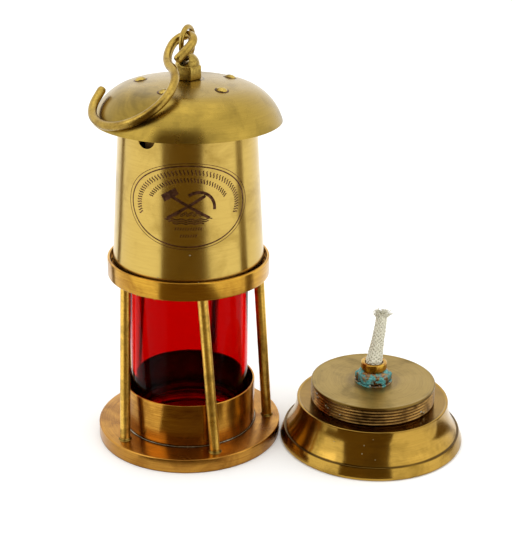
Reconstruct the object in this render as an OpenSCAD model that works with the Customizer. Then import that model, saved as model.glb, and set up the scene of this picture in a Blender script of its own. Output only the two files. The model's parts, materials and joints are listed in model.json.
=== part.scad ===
// Miner's safety lamp in antique brass with a ruby glass, standing beside its unscrewed oil font.
// Millimetres, +Z up. The origin is on the lamp's axis, at the underside of its base.

/* [Base] */
// Diameter of the base flange
base_d = 76; // [72:0.5:90]
// Thickness of the base flange
base_t = 6; // [4.5:0.5:10]
// Height of the tube that guards the foot of the glass
collar_h = 18.3; // [12:0.1:26]
// Wall of that tube
collar_wall = 0.8; // [0.6:0.1:1.4]
// Edge break on the turned brass rings
edge_break = 0.5; // [0.2:0.1:0.8]

/* [Glass] */
// Outer diameter of the glass cylinder
glass_d = 48.4; // [44:0.1:50]
// Wall of the glass cylinder
glass_wall = 2.2; // [1.5:0.1:3]
// Length of the glass cylinder
glass_h = 60; // [45:0.5:80]
// Thickness of each washer that seals an end of the glass
gasket_t = 1.2; // [0.8:0.1:2]
// Thickness of the ledge that the glass stands on
ledge_t = 1.2; // [1:0.1:2]
// Width of the ledge and of the washers, inward from the outside of the glass
seat_w = 3; // [2.6:0.1:4]

/* [Pillars] */
// Diameter of each pillar
pillar_d = 4.2; // [3.4:0.1:5]
// Radius of the circle of pillars at the base
pillar_foot_r = 32.6; // [31.5:0.1:34]
// Radius of the circle of pillars under the middle ring
pillar_head_r = 28.4; // [27.4:0.1:28.8]
// Diameter of the spigot at each end of a pillar
spigot_d = 3; // [2:0.1:3.2]
// Length of the spigot in the base
spigot_l = 4; // [2:0.5:4]
// Direction of the first pillar's head, from +X
pillar_turn = -72.5; // [-90:0.5:0]
// How far round the base each pillar's foot stands from its head
pillar_twist = 7.5; // [0:0.5:12]

/* [Middle ring] */
// Outer diameter of the middle ring
band_d = 65.4; // [64:0.1:70]
// Height of the middle ring
band_h = 7.5; // [6:0.1:12]
// Wall of the middle ring
band_wall = 1.1; // [0.8:0.1:1.5]
// Thickness of the shelf inside it
shelf_t = 1.5; // [1.2:0.1:2.5]
// Bore of the shelf
shelf_bore_d = 38; // [34:0.5:40]

/* [Bonnet] */
// Outer diameter of the tapered shell at its foot
shell_foot_d = 61.4; // [60:0.1:62]
// Outer diameter of the tapered shell at its top
shell_top_d = 53.6; // [50:0.1:57]
// Height of the tapered shell
shell_h = 67.5; // [60:0.5:90]
// Wall of the tapered shell
shell_wall = 0.8; // [0.6:0.1:1.2]
// Height of the rolled bead at its foot
bead_h = 2; // [1.5:0.1:3]
// Diameter of each vent hole
vent_d = 8; // [5:0.5:10]
// Distance from a vent hole's centre to the top of the shell
vent_drop = 7; // [6:0.5:12]
// Direction of the first vent hole, from +X
vent_turn = -118; // [-180:1:180]

/* [Gauze] */
// Outer diameter of the gauze cap
gauze_d = 30; // [24:0.5:32]
// Height of the gauze cap
gauze_h = 52; // [40:0.5:54]
// Thickness of the gauze
gauze_wall = 0.8; // [0.6:0.1:1]
// Outer diameter of the ring that holds the gauze
gauze_ring_d = 44; // [42:0.5:48]

/* [Hood] */
// Diameter of the hood at its rim
hood_d = 74.2; // [68:0.1:80]
// Height of the hood from rim to crown
hood_h = 16; // [14:0.1:22]
// Radius of the hood's nearly flat crown
crown_r = 110; // [80:1:160]
// Diameter at which the crown turns into the shoulder
crown_d = 44; // [40:0.5:48]
// Wall of the hood
hood_wall = 1; // [0.8:0.1:1.4]
// How far the rim hangs below the top of the shell
hood_overlap = 5; // [3:0.5:9]
// Width of each leg of the bracket that carries the hood
stay_w = 8; // [6:0.5:10]
// Thickness of that bracket
stay_t = 1.2; // [0.8:0.1:1.6]
// Length of each leg down the inside of the shell
stay_leg_l = 11; // [9:0.5:16]
// Radius of the circle of rivets
rivet_circle_r = 18.5; // [14:0.5:20]
// Diameter of a rivet's head
rivet_head_d = 4.4; // [3.6:0.1:5]
// Height of a rivet's head
rivet_head_h = 1.1; // [0.8:0.1:1.6]
// Diameter of a rivet's shank
rivet_d = 2.4; // [1.8:0.1:3]
// Direction of the first rivet, from +X
rivet_turn = -111; // [-180:1:180]

/* [Finial] */
// Size of the finial's hexagon across its flats
finial_af = 9.6; // [9.4:0.1:11]
// Height of that hexagon
finial_hex_h = 5.3; // [4:0.1:7]
// Diameter of the round top of the finial
finial_ball_d = 9.4; // [9:0.1:9.4]
// Direction that one flat of the hexagon faces, from +X
finial_turn = -70; // [-90:1:90]
// Diameter of the stud that holds it
stud_d = 5; // [4:0.5:5]
// Size of the stud's inner nut across its flats
stud_nut_af = 8; // [8:0.5:10]
// Height of the stud's inner nut
stud_nut_h = 4; // [3:0.5:5]

/* [Hanger] */
// Diameter of the wire of the ring
ring_wire = 2; // [1.6:0.1:2.2]
// Radius of the ring to the middle of its wire
ring_r = 6; // [5.8:0.1:7]
// Depth of the ring's hole below the top of the finial
ring_hole_drop = 2.2; // [2.1:0.1:2.6]
// Play between the ring's wire and its hole
ring_play = 0.2; // [0.15:0.05:0.3]
// Direction of the ring's flat, from +X
ring_turn = 75; // [72:1:80]
// Diameter of the wire of the hook
hook_wire = 3.4; // [2.8:0.1:3.4]

/* [Font] */
// Gap between the base and the font where they stand side by side
font_gap = 0.5; // [0.3:0.1:20]
// Diameter of the font's foot
foot_d = 77; // [74:0.5:90]
// Height of the font's foot band
foot_h = 5.3; // [4:0.1:8]
// How much smaller the foot band is at its top
foot_taper = 1.6; // [0.5:0.1:2]
// Step between the foot band and the skirt
foot_step = 0.7; // [0.4:0.1:1.2]
// Height from the table to the font's shoulder
shoulder_z = 18.2; // [16:0.1:30]
// Diameter of the shoulder
shoulder_d = 63.4; // [60:0.1:66]
// Wall of the font
font_wall = 1.2; // [0.8:0.1:1.6]
// Height of the font's neck with its top plate
neck_h = 7.8; // [7.6:0.1:8]
// Diameter over the neck's thread
thread_d = 51.8; // [51:0.1:52.4]
// Depth of the neck's thread
thread_depth = 0.7; // [0.5:0.1:0.9]
// Pitch of the neck's thread
thread_pitch = 1.3; // [1.2:0.05:1.3]
// Number of turns of the neck's thread
thread_turns = 5; // [3:1:5]
// Play between the neck's thread and the bore of the base, on the radius
thread_play = 0.15; // [0.1:0.05:0.3]
// Thickness of the font's flat plates
plate_t = 1; // [0.8:0.1:1.4]

/* [Burner] */
// Size of the burner's hexagon across its flats
burner_af = 13.6; // [13:0.1:16]
// Height of the burner's hexagon
burner_hex_h = 3.4; // [2.5:0.1:5]
// Outer diameter of the burner's shank
burner_shank_d = 11; // [10:0.1:12]
// Length of the burner's shank below the plate
burner_shank_l = 5; // [3:0.5:8]
// Outer diameter of the collar round the wick
wick_collar_d = 10.8; // [9.4:0.1:12]
// Height of the collar round the wick
wick_collar_h = 4.8; // [3:0.1:8]
// Outer diameter of the tube round the wick
wick_tube_d = 8.4; // [8.4:0.1:9]
// Diameter of the wick
wick_d = 7; // [6:0.1:7]
// Diameter of the wick at its tip
wick_tip_d = 4.4; // [3:0.1:5]
// Length of wick above the collar
wick_out_l = 23.5; // [10:0.5:30]
// Lean of the wick above the collar
wick_lean = 7; // [0:1:8]
// Play round a part that turns or slides in a hole, on the radius
running_play = 0.05; // [0.02:0.01:0.1]

/* [Hidden] */
$fn = 96;
eps = 0.01;
pillar_count = 5;
rivet_count = 5;
vent_count = 3;

antique_brass = "#a8853c";
dark_brass = "#7a5a22";
ruby_glass = "#b80a12";
washer_grey = "#5b534a";
verdigris = "#4f9d8f";
cotton_white = "#e9e4cf";

// Heights up the lamp
bore_r = thread_d / 2 + thread_play;
ledge_z = neck_h + 0.6;
glass_z = ledge_z + ledge_t + gasket_t;
shelf_z = glass_z + glass_h + gasket_t;
shell_z = shelf_z + shelf_t;
shell_top_z = shell_z + shell_h;
band_bore_r = band_d / 2 - band_wall;
collar_bore_r = bore_r + 0.35;
collar_r = collar_bore_r + collar_wall;
seat_bore_r = glass_d / 2 - seat_w;
bead_r = band_bore_r - 0.15;

// Hood: a nearly flat crown that runs tangentially into a rounder shoulder
hood_rim_z = shell_top_z - hood_overlap;
hood_top_z = hood_rim_z + hood_h;
crown_z = hood_top_z - crown_r;
crown_angle = asin(crown_d / 2 / crown_r);
shoulder_run = (hood_d - crown_d) / 2;
shoulder_fall = crown_z + crown_r * cos(crown_angle) - hood_rim_z;
hood_shoulder_r = (shoulder_run ^ 2 + shoulder_fall ^ 2)
    / (2 * (shoulder_fall * cos(crown_angle) - shoulder_run * sin(crown_angle)));
shoulder_x = crown_d / 2 - hood_shoulder_r * sin(crown_angle);
shoulder_cz = crown_z + (crown_r - hood_shoulder_r) * cos(crown_angle);

// Finial, ring and hook
stud_hole_r = stud_d / 2;
finial_top_z = hood_top_z + finial_hex_h + finial_ball_d / 2;
ring_hole_z = finial_top_z - ring_hole_drop;
ring_z = ring_hole_z + ring_r;
hook_top = [0.18, -0.72, ring_z + ring_r - ring_wire / 2 - hook_wire / 2 - 0.16];
hook_heading = 132.8;
hook_slope = 141.7;
hook_core_d = hook_wire - 1;
hook_core_l = 1;
hairline = 0.01;

// Font
font_x = base_d / 2 + font_gap + foot_d / 2;
neck_root_r = thread_d / 2 - thread_depth;
neck_top_z = shoulder_z + neck_h;
skirt_foot_r = foot_d / 2 - foot_taper - foot_step;
skirt_run = skirt_foot_r - shoulder_d / 2;
skirt_rise = shoulder_z - foot_h;
skirt_r = (skirt_run ^ 2 + skirt_rise ^ 2) / (2 * skirt_run);
burner_hole_r = burner_shank_d / 2 + running_play;
burner_washer_t = 0.5;
burner_z = neck_top_z + burner_washer_t + running_play;
wick_collar_z = burner_z + burner_hex_h;
wick_top_z = wick_collar_z + wick_collar_h;
wick_bore_r = wick_d / 2 + running_play;

// A flat ring with broken outer edges
module turned_ring(outer_r, bore, z, height) {
    translate([0, 0, z])
        rotate_extrude()
            polygon([[bore, 0], [outer_r - edge_break, 0], [outer_r, edge_break],
                     [outer_r, height - edge_break], [outer_r - edge_break, height], [bore, height]]);
}

// A plain flat ring
module washer(outer_r, bore, z, height) {
    translate([0, 0, z])
        difference() {
            cylinder(r = outer_r, h = height);
            translate([0, 0, -1]) cylinder(r = bore, h = height + 2);
        }
}

module hexagon(across_flats, height) {
    rotate(30) cylinder(r = across_flats / sqrt(3), h = height, $fn = 6);
}

// Stands a child at a pillar's foot or head
module at_foot(i) {
    rotate(pillar_turn + pillar_twist + i * 360 / pillar_count)
        translate([pillar_foot_r, 0, 0]) children();
}

module at_head(i) {
    rotate(pillar_turn + i * 360 / pillar_count) translate([pillar_head_r, 0, 0]) children();
}

module base_flange() {
    color(antique_brass)
        difference() {
            turned_ring(base_d / 2, bore_r, 0, base_t);
            for (i = [0:pillar_count - 1])
                at_foot(i)
                    translate([0, 0, base_t - spigot_l]) cylinder(d = spigot_d, h = spigot_l + 1);
        }
}

module glass_guard_collar() {
    color(antique_brass) washer(collar_r, collar_bore_r, base_t, collar_h);
}

module glass_ledge() {
    color(dark_brass) washer(collar_bore_r, seat_bore_r, ledge_z, ledge_t);
}

module glass_washer(z) {
    color(washer_grey) washer(glass_d / 2 + 0.4, seat_bore_r, z, gasket_t);
}

module glass_cylinder() {
    color(ruby_glass, 0.5) washer(glass_d / 2, glass_d / 2 - glass_wall, glass_z, glass_h);
}

module middle_ring_band() {
    color(antique_brass) turned_ring(band_d / 2, band_bore_r, shelf_z, band_h);
}

module middle_ring_shelf() {
    color(dark_brass)
        difference() {
            washer(band_bore_r, shelf_bore_d / 2, shelf_z, shelf_t);
            for (i = [0:pillar_count - 1])
                at_head(i) translate([0, 0, shelf_z - 1]) cylinder(d = spigot_d, h = shelf_t + 2);
        }
}

// A splayed round pillar, cut level at both ends, with an upright spigot in the base and the shelf
module pillar(i) {
    rise = shelf_z - base_t;
    // The head as seen from the foot, in the foot's own directions
    run_in = pillar_head_r * cos(pillar_twist) - pillar_foot_r;
    run_round = -pillar_head_r * sin(pillar_twist);
    lean = atan(norm([run_in, run_round]) / rise);
    color(antique_brass)
        union() {
            intersection() {
                at_foot(i)
                    translate([0, 0, base_t])
                        rotate([0, lean, atan2(run_round, run_in)])
                            translate([0, 0, -2]) cylinder(d = pillar_d, h = rise + 4);
                translate([0, 0, base_t]) cylinder(d = base_d, h = rise);
            }
            at_foot(i)
                translate([0, 0, base_t - spigot_l]) cylinder(d = spigot_d, h = spigot_l + 1);
            at_head(i)
                translate([0, 0, shelf_z - 1]) cylinder(d = spigot_d, h = shelf_t + 1);
        }
}

module gauze_cap() {
    color(dark_brass)
        translate([0, 0, shell_z])
            difference() {
                cylinder(d = gauze_d, h = gauze_h);
                translate([0, 0, -1]) cylinder(d = gauze_d - 2 * gauze_wall, h = gauze_h + 1 - gauze_wall);
            }
}

module gauze_ring() {
    color(antique_brass) washer(gauze_ring_d / 2, gauze_d / 2, shell_z, shelf_t);
}

// Outline of the tapered shell, set in from its outside
module shell_outline(inset) {
    polygon([[0, 0], [shell_foot_d / 2 - inset, 0], [shell_top_d / 2 - inset, shell_h], [0, shell_h]]);
}

module bonnet_shell() {
    color(antique_brass)
        translate([0, 0, shell_z])
            difference() {
                union() {
                    rotate_extrude() shell_outline(0);
                    cylinder(r = bead_r, h = bead_h);
                }
                difference() {
                    translate([0, 0, -1]) cylinder(d = shell_foot_d, h = shell_h + 2);
                    rotate_extrude()
                        difference() {
                            translate([0, -2]) square([shell_foot_d, shell_h + 4]);
                            polygon([[0, -2], [shell_foot_d / 2 - shell_wall, -2],
                                     [shell_foot_d / 2 - shell_wall, 0],
                                     [shell_top_d / 2 - shell_wall, shell_h],
                                     [shell_top_d / 2 - shell_wall, shell_h + 2], [0, shell_h + 2]]);
                        }
                }
                for (i = [0:vent_count - 1])
                    rotate(vent_turn + i * 360 / vent_count)
                        translate([0, 0, shell_h - vent_drop])
                            rotate([0, 90, 0]) cylinder(d = vent_d, h = shell_foot_d);
            }
}

// The space under the hood's surface, down to a height, with the surface set in
module hood_outline(inset, floor_z) {
    joint_x = (crown_r - inset) * sin(crown_angle);
    intersection() {
        translate([0, crown_z]) circle(r = crown_r - inset, $fn = 360);
        translate([0, floor_z]) square([joint_x, 2 * hood_h]);
    }
    intersection() {
        translate([shoulder_x, shoulder_cz]) circle(r = hood_shoulder_r - inset);
        translate([joint_x - eps, floor_z]) square([hood_d, 2 * hood_h]);
    }
}

// Stands a child on the hood's crown, square to its surface, at one rivet's place
module at_rivet(i) {
    rotate(rivet_turn + i * 360 / rivet_count)
        translate([0, 0, crown_z])
            rotate([0, asin(rivet_circle_r / crown_r), 0])
                translate([0, 0, crown_r]) children();
}

module hood() {
    color(antique_brass)
        difference() {
            rotate_extrude()
                difference() {
                    hood_outline(0, hood_rim_z);
                    hood_outline(hood_wall, hood_rim_z - 1);
                }
            translate([0, 0, hood_rim_z]) cylinder(r = stud_hole_r, h = 2 * hood_h);
            for (i = [0:rivet_count - 1])
                at_rivet(i) translate([0, 0, -hood_wall - 1]) cylinder(d = rivet_d, h = hood_wall + 2);
        }
}

// A star of five strips pressed to the underside of the hood, each bent down inside the shell
module hood_bracket() {
    leg_foot_z = shell_top_z - stay_leg_l;
    slope = (shell_foot_d - shell_top_d) / 2 / shell_h;
    leg_foot_r = shell_top_d / 2 - shell_wall + slope * stay_leg_l;
    leg_rise = 8;
    leg_top_r = leg_foot_r - slope * (stay_leg_l + leg_rise);
    color(dark_brass)
        difference() {
            intersection() {
                rotate_extrude() {
                    difference() {
                        intersection() {
                            hood_outline(hood_wall, hood_rim_z);
                            square([leg_top_r, 2 * hood_top_z]);
                        }
                        hood_outline(hood_wall + stay_t, hood_rim_z - 1);
                    }
                    intersection() {
                        polygon([[leg_foot_r - stay_t, leg_foot_z], [leg_foot_r, leg_foot_z],
                                 [leg_top_r, shell_top_z + leg_rise],
                                 [leg_top_r - stay_t, shell_top_z + leg_rise]]);
                        hood_outline(hood_wall, leg_foot_z - 1);
                    }
                }
                union() {
                    for (i = [0:rivet_count - 1])
                        rotate(rivet_turn + i * 360 / rivet_count)
                            translate([0, -stay_w / 2, leg_foot_z - 1])
                                cube([hood_d, stay_w, 3 * hood_h]);
                    translate([0, 0, leg_foot_z - 1]) cylinder(r = stay_w, h = 3 * hood_h);
                }
            }
            translate([0, 0, hood_rim_z]) cylinder(r = stud_hole_r, h = 2 * hood_h);
            for (i = [0:rivet_count - 1])
                at_rivet(i)
                    translate([0, 0, -hood_wall - stay_t - 1]) cylinder(d = rivet_d, h = stay_t + 2);
        }
}

// A low round rivet head that stands on z = 0
module rivet_head() {
    cap_r = ((rivet_head_d / 2) ^ 2 + rivet_head_h ^ 2) / (2 * rivet_head_h);
    intersection() {
        translate([0, 0, rivet_head_h - cap_r]) sphere(r = cap_r);
        cylinder(d = rivet_head_d, h = rivet_head_h + 1);
    }
}

module hood_rivets() {
    grip = hood_wall + stay_t;
    color(antique_brass)
        for (i = [0:rivet_count - 1])
            at_rivet(i) {
                rivet_head();
                translate([0, 0, -grip - 0.6]) cylinder(d = rivet_d, h = grip + 0.7);
            }
}

module finial_stud() {
    color(dark_brass)
        translate([0, 0, hood_top_z - hood_wall - stay_t - stud_nut_h - 2])
            cylinder(d = stud_d, h = hood_wall + stay_t + stud_nut_h + 2 + finial_hex_h - 1);
}

module stud_nut() {
    nut_z = hood_top_z - hood_wall - stay_t - stud_nut_h - 0.15;
    color(dark_brass)
        translate([0, 0, nut_z])
            difference() {
                hexagon(stud_nut_af, stud_nut_h);
                translate([0, 0, -1]) cylinder(d = stud_d, h = stud_nut_h + 2);
            }
}

// The flared cross hole that lets the ring tip without binding
module ring_hole() {
    reach = finial_ball_d / 2 + 1;
    mouth_r = ring_wire / 2 + ring_play + reach / 4;
    translate([0, 0, ring_hole_z])
        rotate([0, 90, ring_turn]) {
            cylinder(r1 = ring_wire / 2 + ring_play, r2 = mouth_r, h = reach);
            rotate([180, 0, 0]) cylinder(r1 = ring_wire / 2 + ring_play, r2 = mouth_r, h = reach);
        }
}

module finial() {
    color(antique_brass)
        difference() {
            union() {
                translate([0, 0, hood_top_z]) rotate(finial_turn) hexagon(finial_af, finial_hex_h);
                translate([0, 0, hood_top_z + finial_hex_h]) sphere(d = finial_ball_d);
            }
            translate([0, 0, hood_top_z - finial_ball_d]) cylinder(d = finial_ball_d + 1, h = finial_ball_d);
            translate([0, 0, hood_top_z - 1]) cylinder(d = stud_d, h = finial_hex_h);
            ring_hole();
        }
}

module hanger_ring() {
    color(antique_brass)
        translate([0, 0, ring_z])
            rotate([90, 0, ring_turn])
                rotate_extrude() translate([ring_r, 0]) circle(d = ring_wire, $fn = 32);
}

// The core that joins one length of the hook's wire to the next, across a hairline between them
module wire_core() {
    translate([-hook_core_l / 2, 0, 0])
        rotate([0, 90, 0]) cylinder(d = hook_core_d, h = hook_core_l, $fn = 32);
}

// A straight length of hook wire along +X, with what follows it placed at its end
module straight(length) {
    translate([hairline, 0, 0])
        rotate([0, 90, 0]) cylinder(d = hook_wire, h = length - 2 * hairline, $fn = 32);
    translate([length, 0, 0]) children();
}

// A bend of hook wire that starts along +X and turns left, or right where the turn is negative
module bend(radius, turn) {
    side = sign(turn);
    trim = hairline / radius * 180 / PI;
    start = (turn > 0 ? -90 : 90 + turn) + trim;
    wire_core();
    translate([0, side * radius, 0]) {
        rotate(start)
            rotate_extrude(angle = abs(turn) - 2 * trim)
                translate([radius, 0]) circle(d = hook_wire, $fn = 32);
        rotate(turn) translate([0, -side * radius, 0]) children();
    }
}

// The S-shaped hook: from its cut end round the small eye, then down and round the large bow
module hook() {
    color(antique_brass)
        translate(hook_top)
            rotate([hook_slope, 0, hook_heading])
                translate([-6.3, -12.3, 0])
                    rotate(92)
                        straight(7.2) bend(5, -200) bend(14.2, -57) bend(15.1, 105)
                            bend(20.5, 82) bend(13.3, 49) {
                                wire_core();
                                straight(5);
                            }
}

// Half outline of the font's shell: foot band, step, hollow skirt and shoulder, set in by a wall
module font_outline(inset, floor_z) {
    foot_r = foot_d / 2 - inset;
    top_z = shoulder_z - inset;
    difference() {
        polygon([[0, floor_z], [foot_r, floor_z], [foot_r - foot_taper, foot_h - inset],
                 [skirt_foot_r - inset, foot_h - inset], [skirt_foot_r - inset, top_z], [0, top_z]]);
        translate([shoulder_d / 2 + skirt_r, shoulder_z]) circle(r = skirt_r + inset, $fn = 180);
    }
}

module font_shell() {
    color(antique_brass)
        translate([font_x, 0, 0])
            difference() {
                rotate_extrude()
                    difference() {
                        font_outline(0, 0);
                        font_outline(font_wall, -1);
                    }
                translate([0, 0, foot_h]) cylinder(r = neck_root_r - font_wall, h = shoulder_z);
            }
}

module font_bottom_plate() {
    plate_z = 1;
    wall_slope = foot_taper / (foot_h - font_wall + 1);
    low_r = foot_d / 2 - font_wall - wall_slope * (plate_z + 1);
    high_r = low_r - wall_slope * plate_t;
    color(antique_brass)
        translate([font_x, 0, plate_z]) cylinder(r1 = low_r, r2 = high_r, h = plate_t);
}

// The threaded neck, its thread drawn as evenly spaced grooves
module font_neck() {
    neck_l = neck_h - plate_t;
    first = (neck_l - thread_turns * thread_pitch) / 2;
    floor_half = 0.12 * thread_pitch;
    mouth_half = 0.32 * thread_pitch;
    color(dark_brass)
        translate([font_x, 0, shoulder_z])
            difference() {
                washer(thread_d / 2, neck_root_r - font_wall, 0, neck_l);
                for (i = [0:thread_turns])
                    translate([0, 0, first + i * thread_pitch])
                        rotate_extrude()
                            polygon([[neck_root_r, -floor_half], [neck_root_r, floor_half],
                                     [thread_d / 2 + thread_depth, 2 * mouth_half - floor_half],
                                     [thread_d / 2 + thread_depth, floor_half - 2 * mouth_half]]);
            }
}

module font_top_plate() {
    color(antique_brass)
        translate([font_x, 0, 0]) washer(thread_d / 2, burner_hole_r, neck_top_z - plate_t, plate_t);
}

module burner_washer() {
    color(verdigris)
        translate([font_x, 0, 0]) washer(burner_af / 2 + 1.1, burner_hole_r, neck_top_z, burner_washer_t);
}

module burner_nut() {
    color(verdigris)
        translate([font_x, 0, burner_z])
            difference() {
                union() {
                    intersection() {
                        hexagon(burner_af, burner_hex_h);
                        cylinder(r1 = burner_af, r2 = burner_af / 2 - 0.6, h = burner_hex_h + 0.01);
                    }
                    translate([0, 0, -burner_shank_l]) cylinder(d = burner_shank_d, h = burner_shank_l + 1);
                }
                translate([0, 0, -burner_shank_l - 1]) cylinder(d = wick_tube_d, h = burner_shank_l + burner_hex_h + 2);
            }
}

module wick_holder() {
    tube_l = burner_shank_l + burner_hex_h + 4;
    color(antique_brass)
        translate([font_x, 0, wick_collar_z])
            difference() {
                union() {
                    translate([0, 0, -tube_l]) cylinder(d = wick_tube_d, h = tube_l + 1);
                    cylinder(d = wick_collar_d, h = wick_collar_h);
                }
                translate([0, 0, -tube_l - 1]) cylinder(r = wick_bore_r, h = tube_l + wick_collar_h + 2);
            }
}

module wick() {
    tail_z = plate_t + 2;
    color(cotton_white)
        translate([font_x, 0, 0]) {
            translate([0, 0, tail_z]) cylinder(d = wick_d, h = wick_top_z - tail_z);
            translate([0, 0, wick_top_z]) {
                sphere(d = wick_d);
                rotate([0, wick_lean, 0]) cylinder(d1 = wick_d, d2 = wick_tip_d, h = wick_out_l);
            }
        }
}

base_flange();
glass_guard_collar();
glass_ledge();
glass_washer(ledge_z + ledge_t);  // lower_glass_washer
glass_cylinder();
glass_washer(glass_z + glass_h);  // upper_glass_washer
middle_ring_band();
middle_ring_shelf();
gauze_cap();
gauze_ring();
for (i = [1:pillar_count])
    pillar(i - 1);
bonnet_shell();
hood();
hood_bracket();
hood_rivets();
finial_stud();
stud_nut();
finial();
hanger_ring();
hook();
font_shell();
font_bottom_plate();
font_neck();
font_top_plate();
burner_washer();
burner_nut();
wick_holder();
wick();
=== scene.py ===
"""Antique brass miner's safety lamp with a ruby glass, its oil font unscrewed beside it.

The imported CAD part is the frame. Each visible CAD node gets a finer mesh that stands for it,
and the hidden ones keep their CAD mesh with a material of their own. Sizes are in millimetres.
"""

import json
import logging
import math
import random
from collections.abc import Callable, Sequence
from dataclasses import dataclass, field
from enum import Enum

import bmesh
import bpy
from mathutils import Matrix, Vector, noise

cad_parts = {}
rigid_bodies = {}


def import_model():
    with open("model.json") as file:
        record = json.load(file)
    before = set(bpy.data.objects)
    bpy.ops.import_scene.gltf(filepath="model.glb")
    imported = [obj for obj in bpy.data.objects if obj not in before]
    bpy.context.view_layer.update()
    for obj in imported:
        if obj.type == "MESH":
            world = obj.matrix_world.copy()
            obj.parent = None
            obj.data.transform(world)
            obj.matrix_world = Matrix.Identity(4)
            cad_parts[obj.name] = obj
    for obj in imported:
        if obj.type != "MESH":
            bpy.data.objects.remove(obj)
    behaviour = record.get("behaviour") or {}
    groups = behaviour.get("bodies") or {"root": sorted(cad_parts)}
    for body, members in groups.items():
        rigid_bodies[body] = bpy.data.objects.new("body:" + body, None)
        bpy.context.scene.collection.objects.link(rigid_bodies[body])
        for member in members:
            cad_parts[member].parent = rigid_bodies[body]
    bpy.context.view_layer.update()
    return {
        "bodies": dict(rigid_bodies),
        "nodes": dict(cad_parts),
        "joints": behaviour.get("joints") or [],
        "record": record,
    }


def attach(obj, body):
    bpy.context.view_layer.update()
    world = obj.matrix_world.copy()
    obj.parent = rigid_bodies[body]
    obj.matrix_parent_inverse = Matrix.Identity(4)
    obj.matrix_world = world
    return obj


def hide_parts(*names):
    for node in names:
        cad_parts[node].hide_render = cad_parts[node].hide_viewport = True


MM = 0.001
LOG = logging.getLogger("lamp")

FONT_X = 77.0
"""Where the font's axis stands, in millimetres along +X."""

NOISE_SEED = 5
"""Fixes the dents, which would otherwise follow the clock and differ at each run."""


class Body(str, Enum):
    """The CAD bodies that a piece can ride on."""

    FRAME = "frame"
    BONNET = "bonnet"
    HANGER = "hanger"
    HOOK = "hook"
    FONT = "font"
    BURNER = "burner"
    WICK = "wick"


class Slot(str, Enum):
    """The record's material slots."""

    BRASS = "antique_brass"
    DARK_BRASS = "dark_brass"
    GLASS = "ruby_glass"
    WASHER = "seal_washer"
    GAUZE = "brass_gauze"
    VERDIGRIS = "verdigris_brass"
    COTTON = "wick_cotton"


def linear(hex_colour: str) -> tuple[float, float, float, float]:
    """Turns an sRGB hex colour into linear light.

    Args:
        hex_colour: Six hex digits, with or without a leading hash.

    Returns:
        Linear red, green and blue, with an alpha of 1.
    """
    digits = hex_colour.lstrip("#")
    channels = [int(digits[i : i + 2], 16) / 255 for i in (0, 2, 4)]
    return (*[c / 12.92 if c <= 0.04045 else ((c + 0.055) / 1.055) ** 2.4 for c in channels], 1.0)


# --------------------------------------------------------------------------------------
# Materials
# --------------------------------------------------------------------------------------


def new_material(name: str) -> tuple[bpy.types.Material, bpy.types.NodeTree]:
    """Makes an empty node material.

    Args:
        name: Name of the material.

    Returns:
        The material and its node tree.
    """
    material = bpy.data.materials.new(name)
    material.use_nodes = True
    material.node_tree.nodes.clear()
    return material, material.node_tree


def add(
    tree: bpy.types.NodeTree,
    kind: str,
    inputs: dict[str | int, object] | None = None,
    stops: Sequence[tuple[float, tuple[float, ...]]] = (),
    **settings: object,
) -> bpy.types.Node:
    """Adds one shader node with its settings and links.

    Args:
        tree: Node tree to add to.
        kind: Blender's name of the node type.
        inputs: For each input, a socket to link from or a plain value.
        stops: Positions and colours of a colour ramp.
        **settings: Attributes of the node.

    Returns:
        The new node.
    """
    node = tree.nodes.new(kind)
    for key, value in settings.items():
        setattr(node, key, value)
    for key, value in (inputs or {}).items():
        if isinstance(value, bpy.types.NodeSocket):
            tree.links.new(value, node.inputs[key])
        else:
            node.inputs[key].default_value = value
    if stops:
        ramp = node.color_ramp
        while len(ramp.elements) < len(stops):
            ramp.elements.new(0.5)
        for element, (position, colour) in zip(ramp.elements, stops):
            element.position = position
            element.color = colour
    return node


def grey(level: float) -> tuple[float, float, float, float]:
    """A neutral ramp colour.

    Args:
        level: Brightness from 0 to 1.

    Returns:
        The level in all three channels, with an alpha of 1.
    """
    return (level, level, level, 1.0)


class Grain(Enum):
    """How the surface of a brass piece was worked."""

    LATHED = "lathed"
    CAST = "cast"


@dataclass(frozen=True)
class StainAndShade:
    """A ring of darker or lighter colour that follows a seam, a groove or a rivet circle. Some are
    real stains and dark joints; others are painted shade in corners and grooves.

    Attributes:
        along: "Z" for a ring at a height, "R" for a ring at a radius.
        at: Height or radius of the middle of the ring, in millimetres.
        width: Full width of the ring, in millimetres.
        colour: sRGB hex colour of the ring.
        strength: How strongly the ring covers the metal, from 0 to 1.
    """

    along: str
    at: float
    width: float
    colour: str
    strength: float = 0.8


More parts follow.
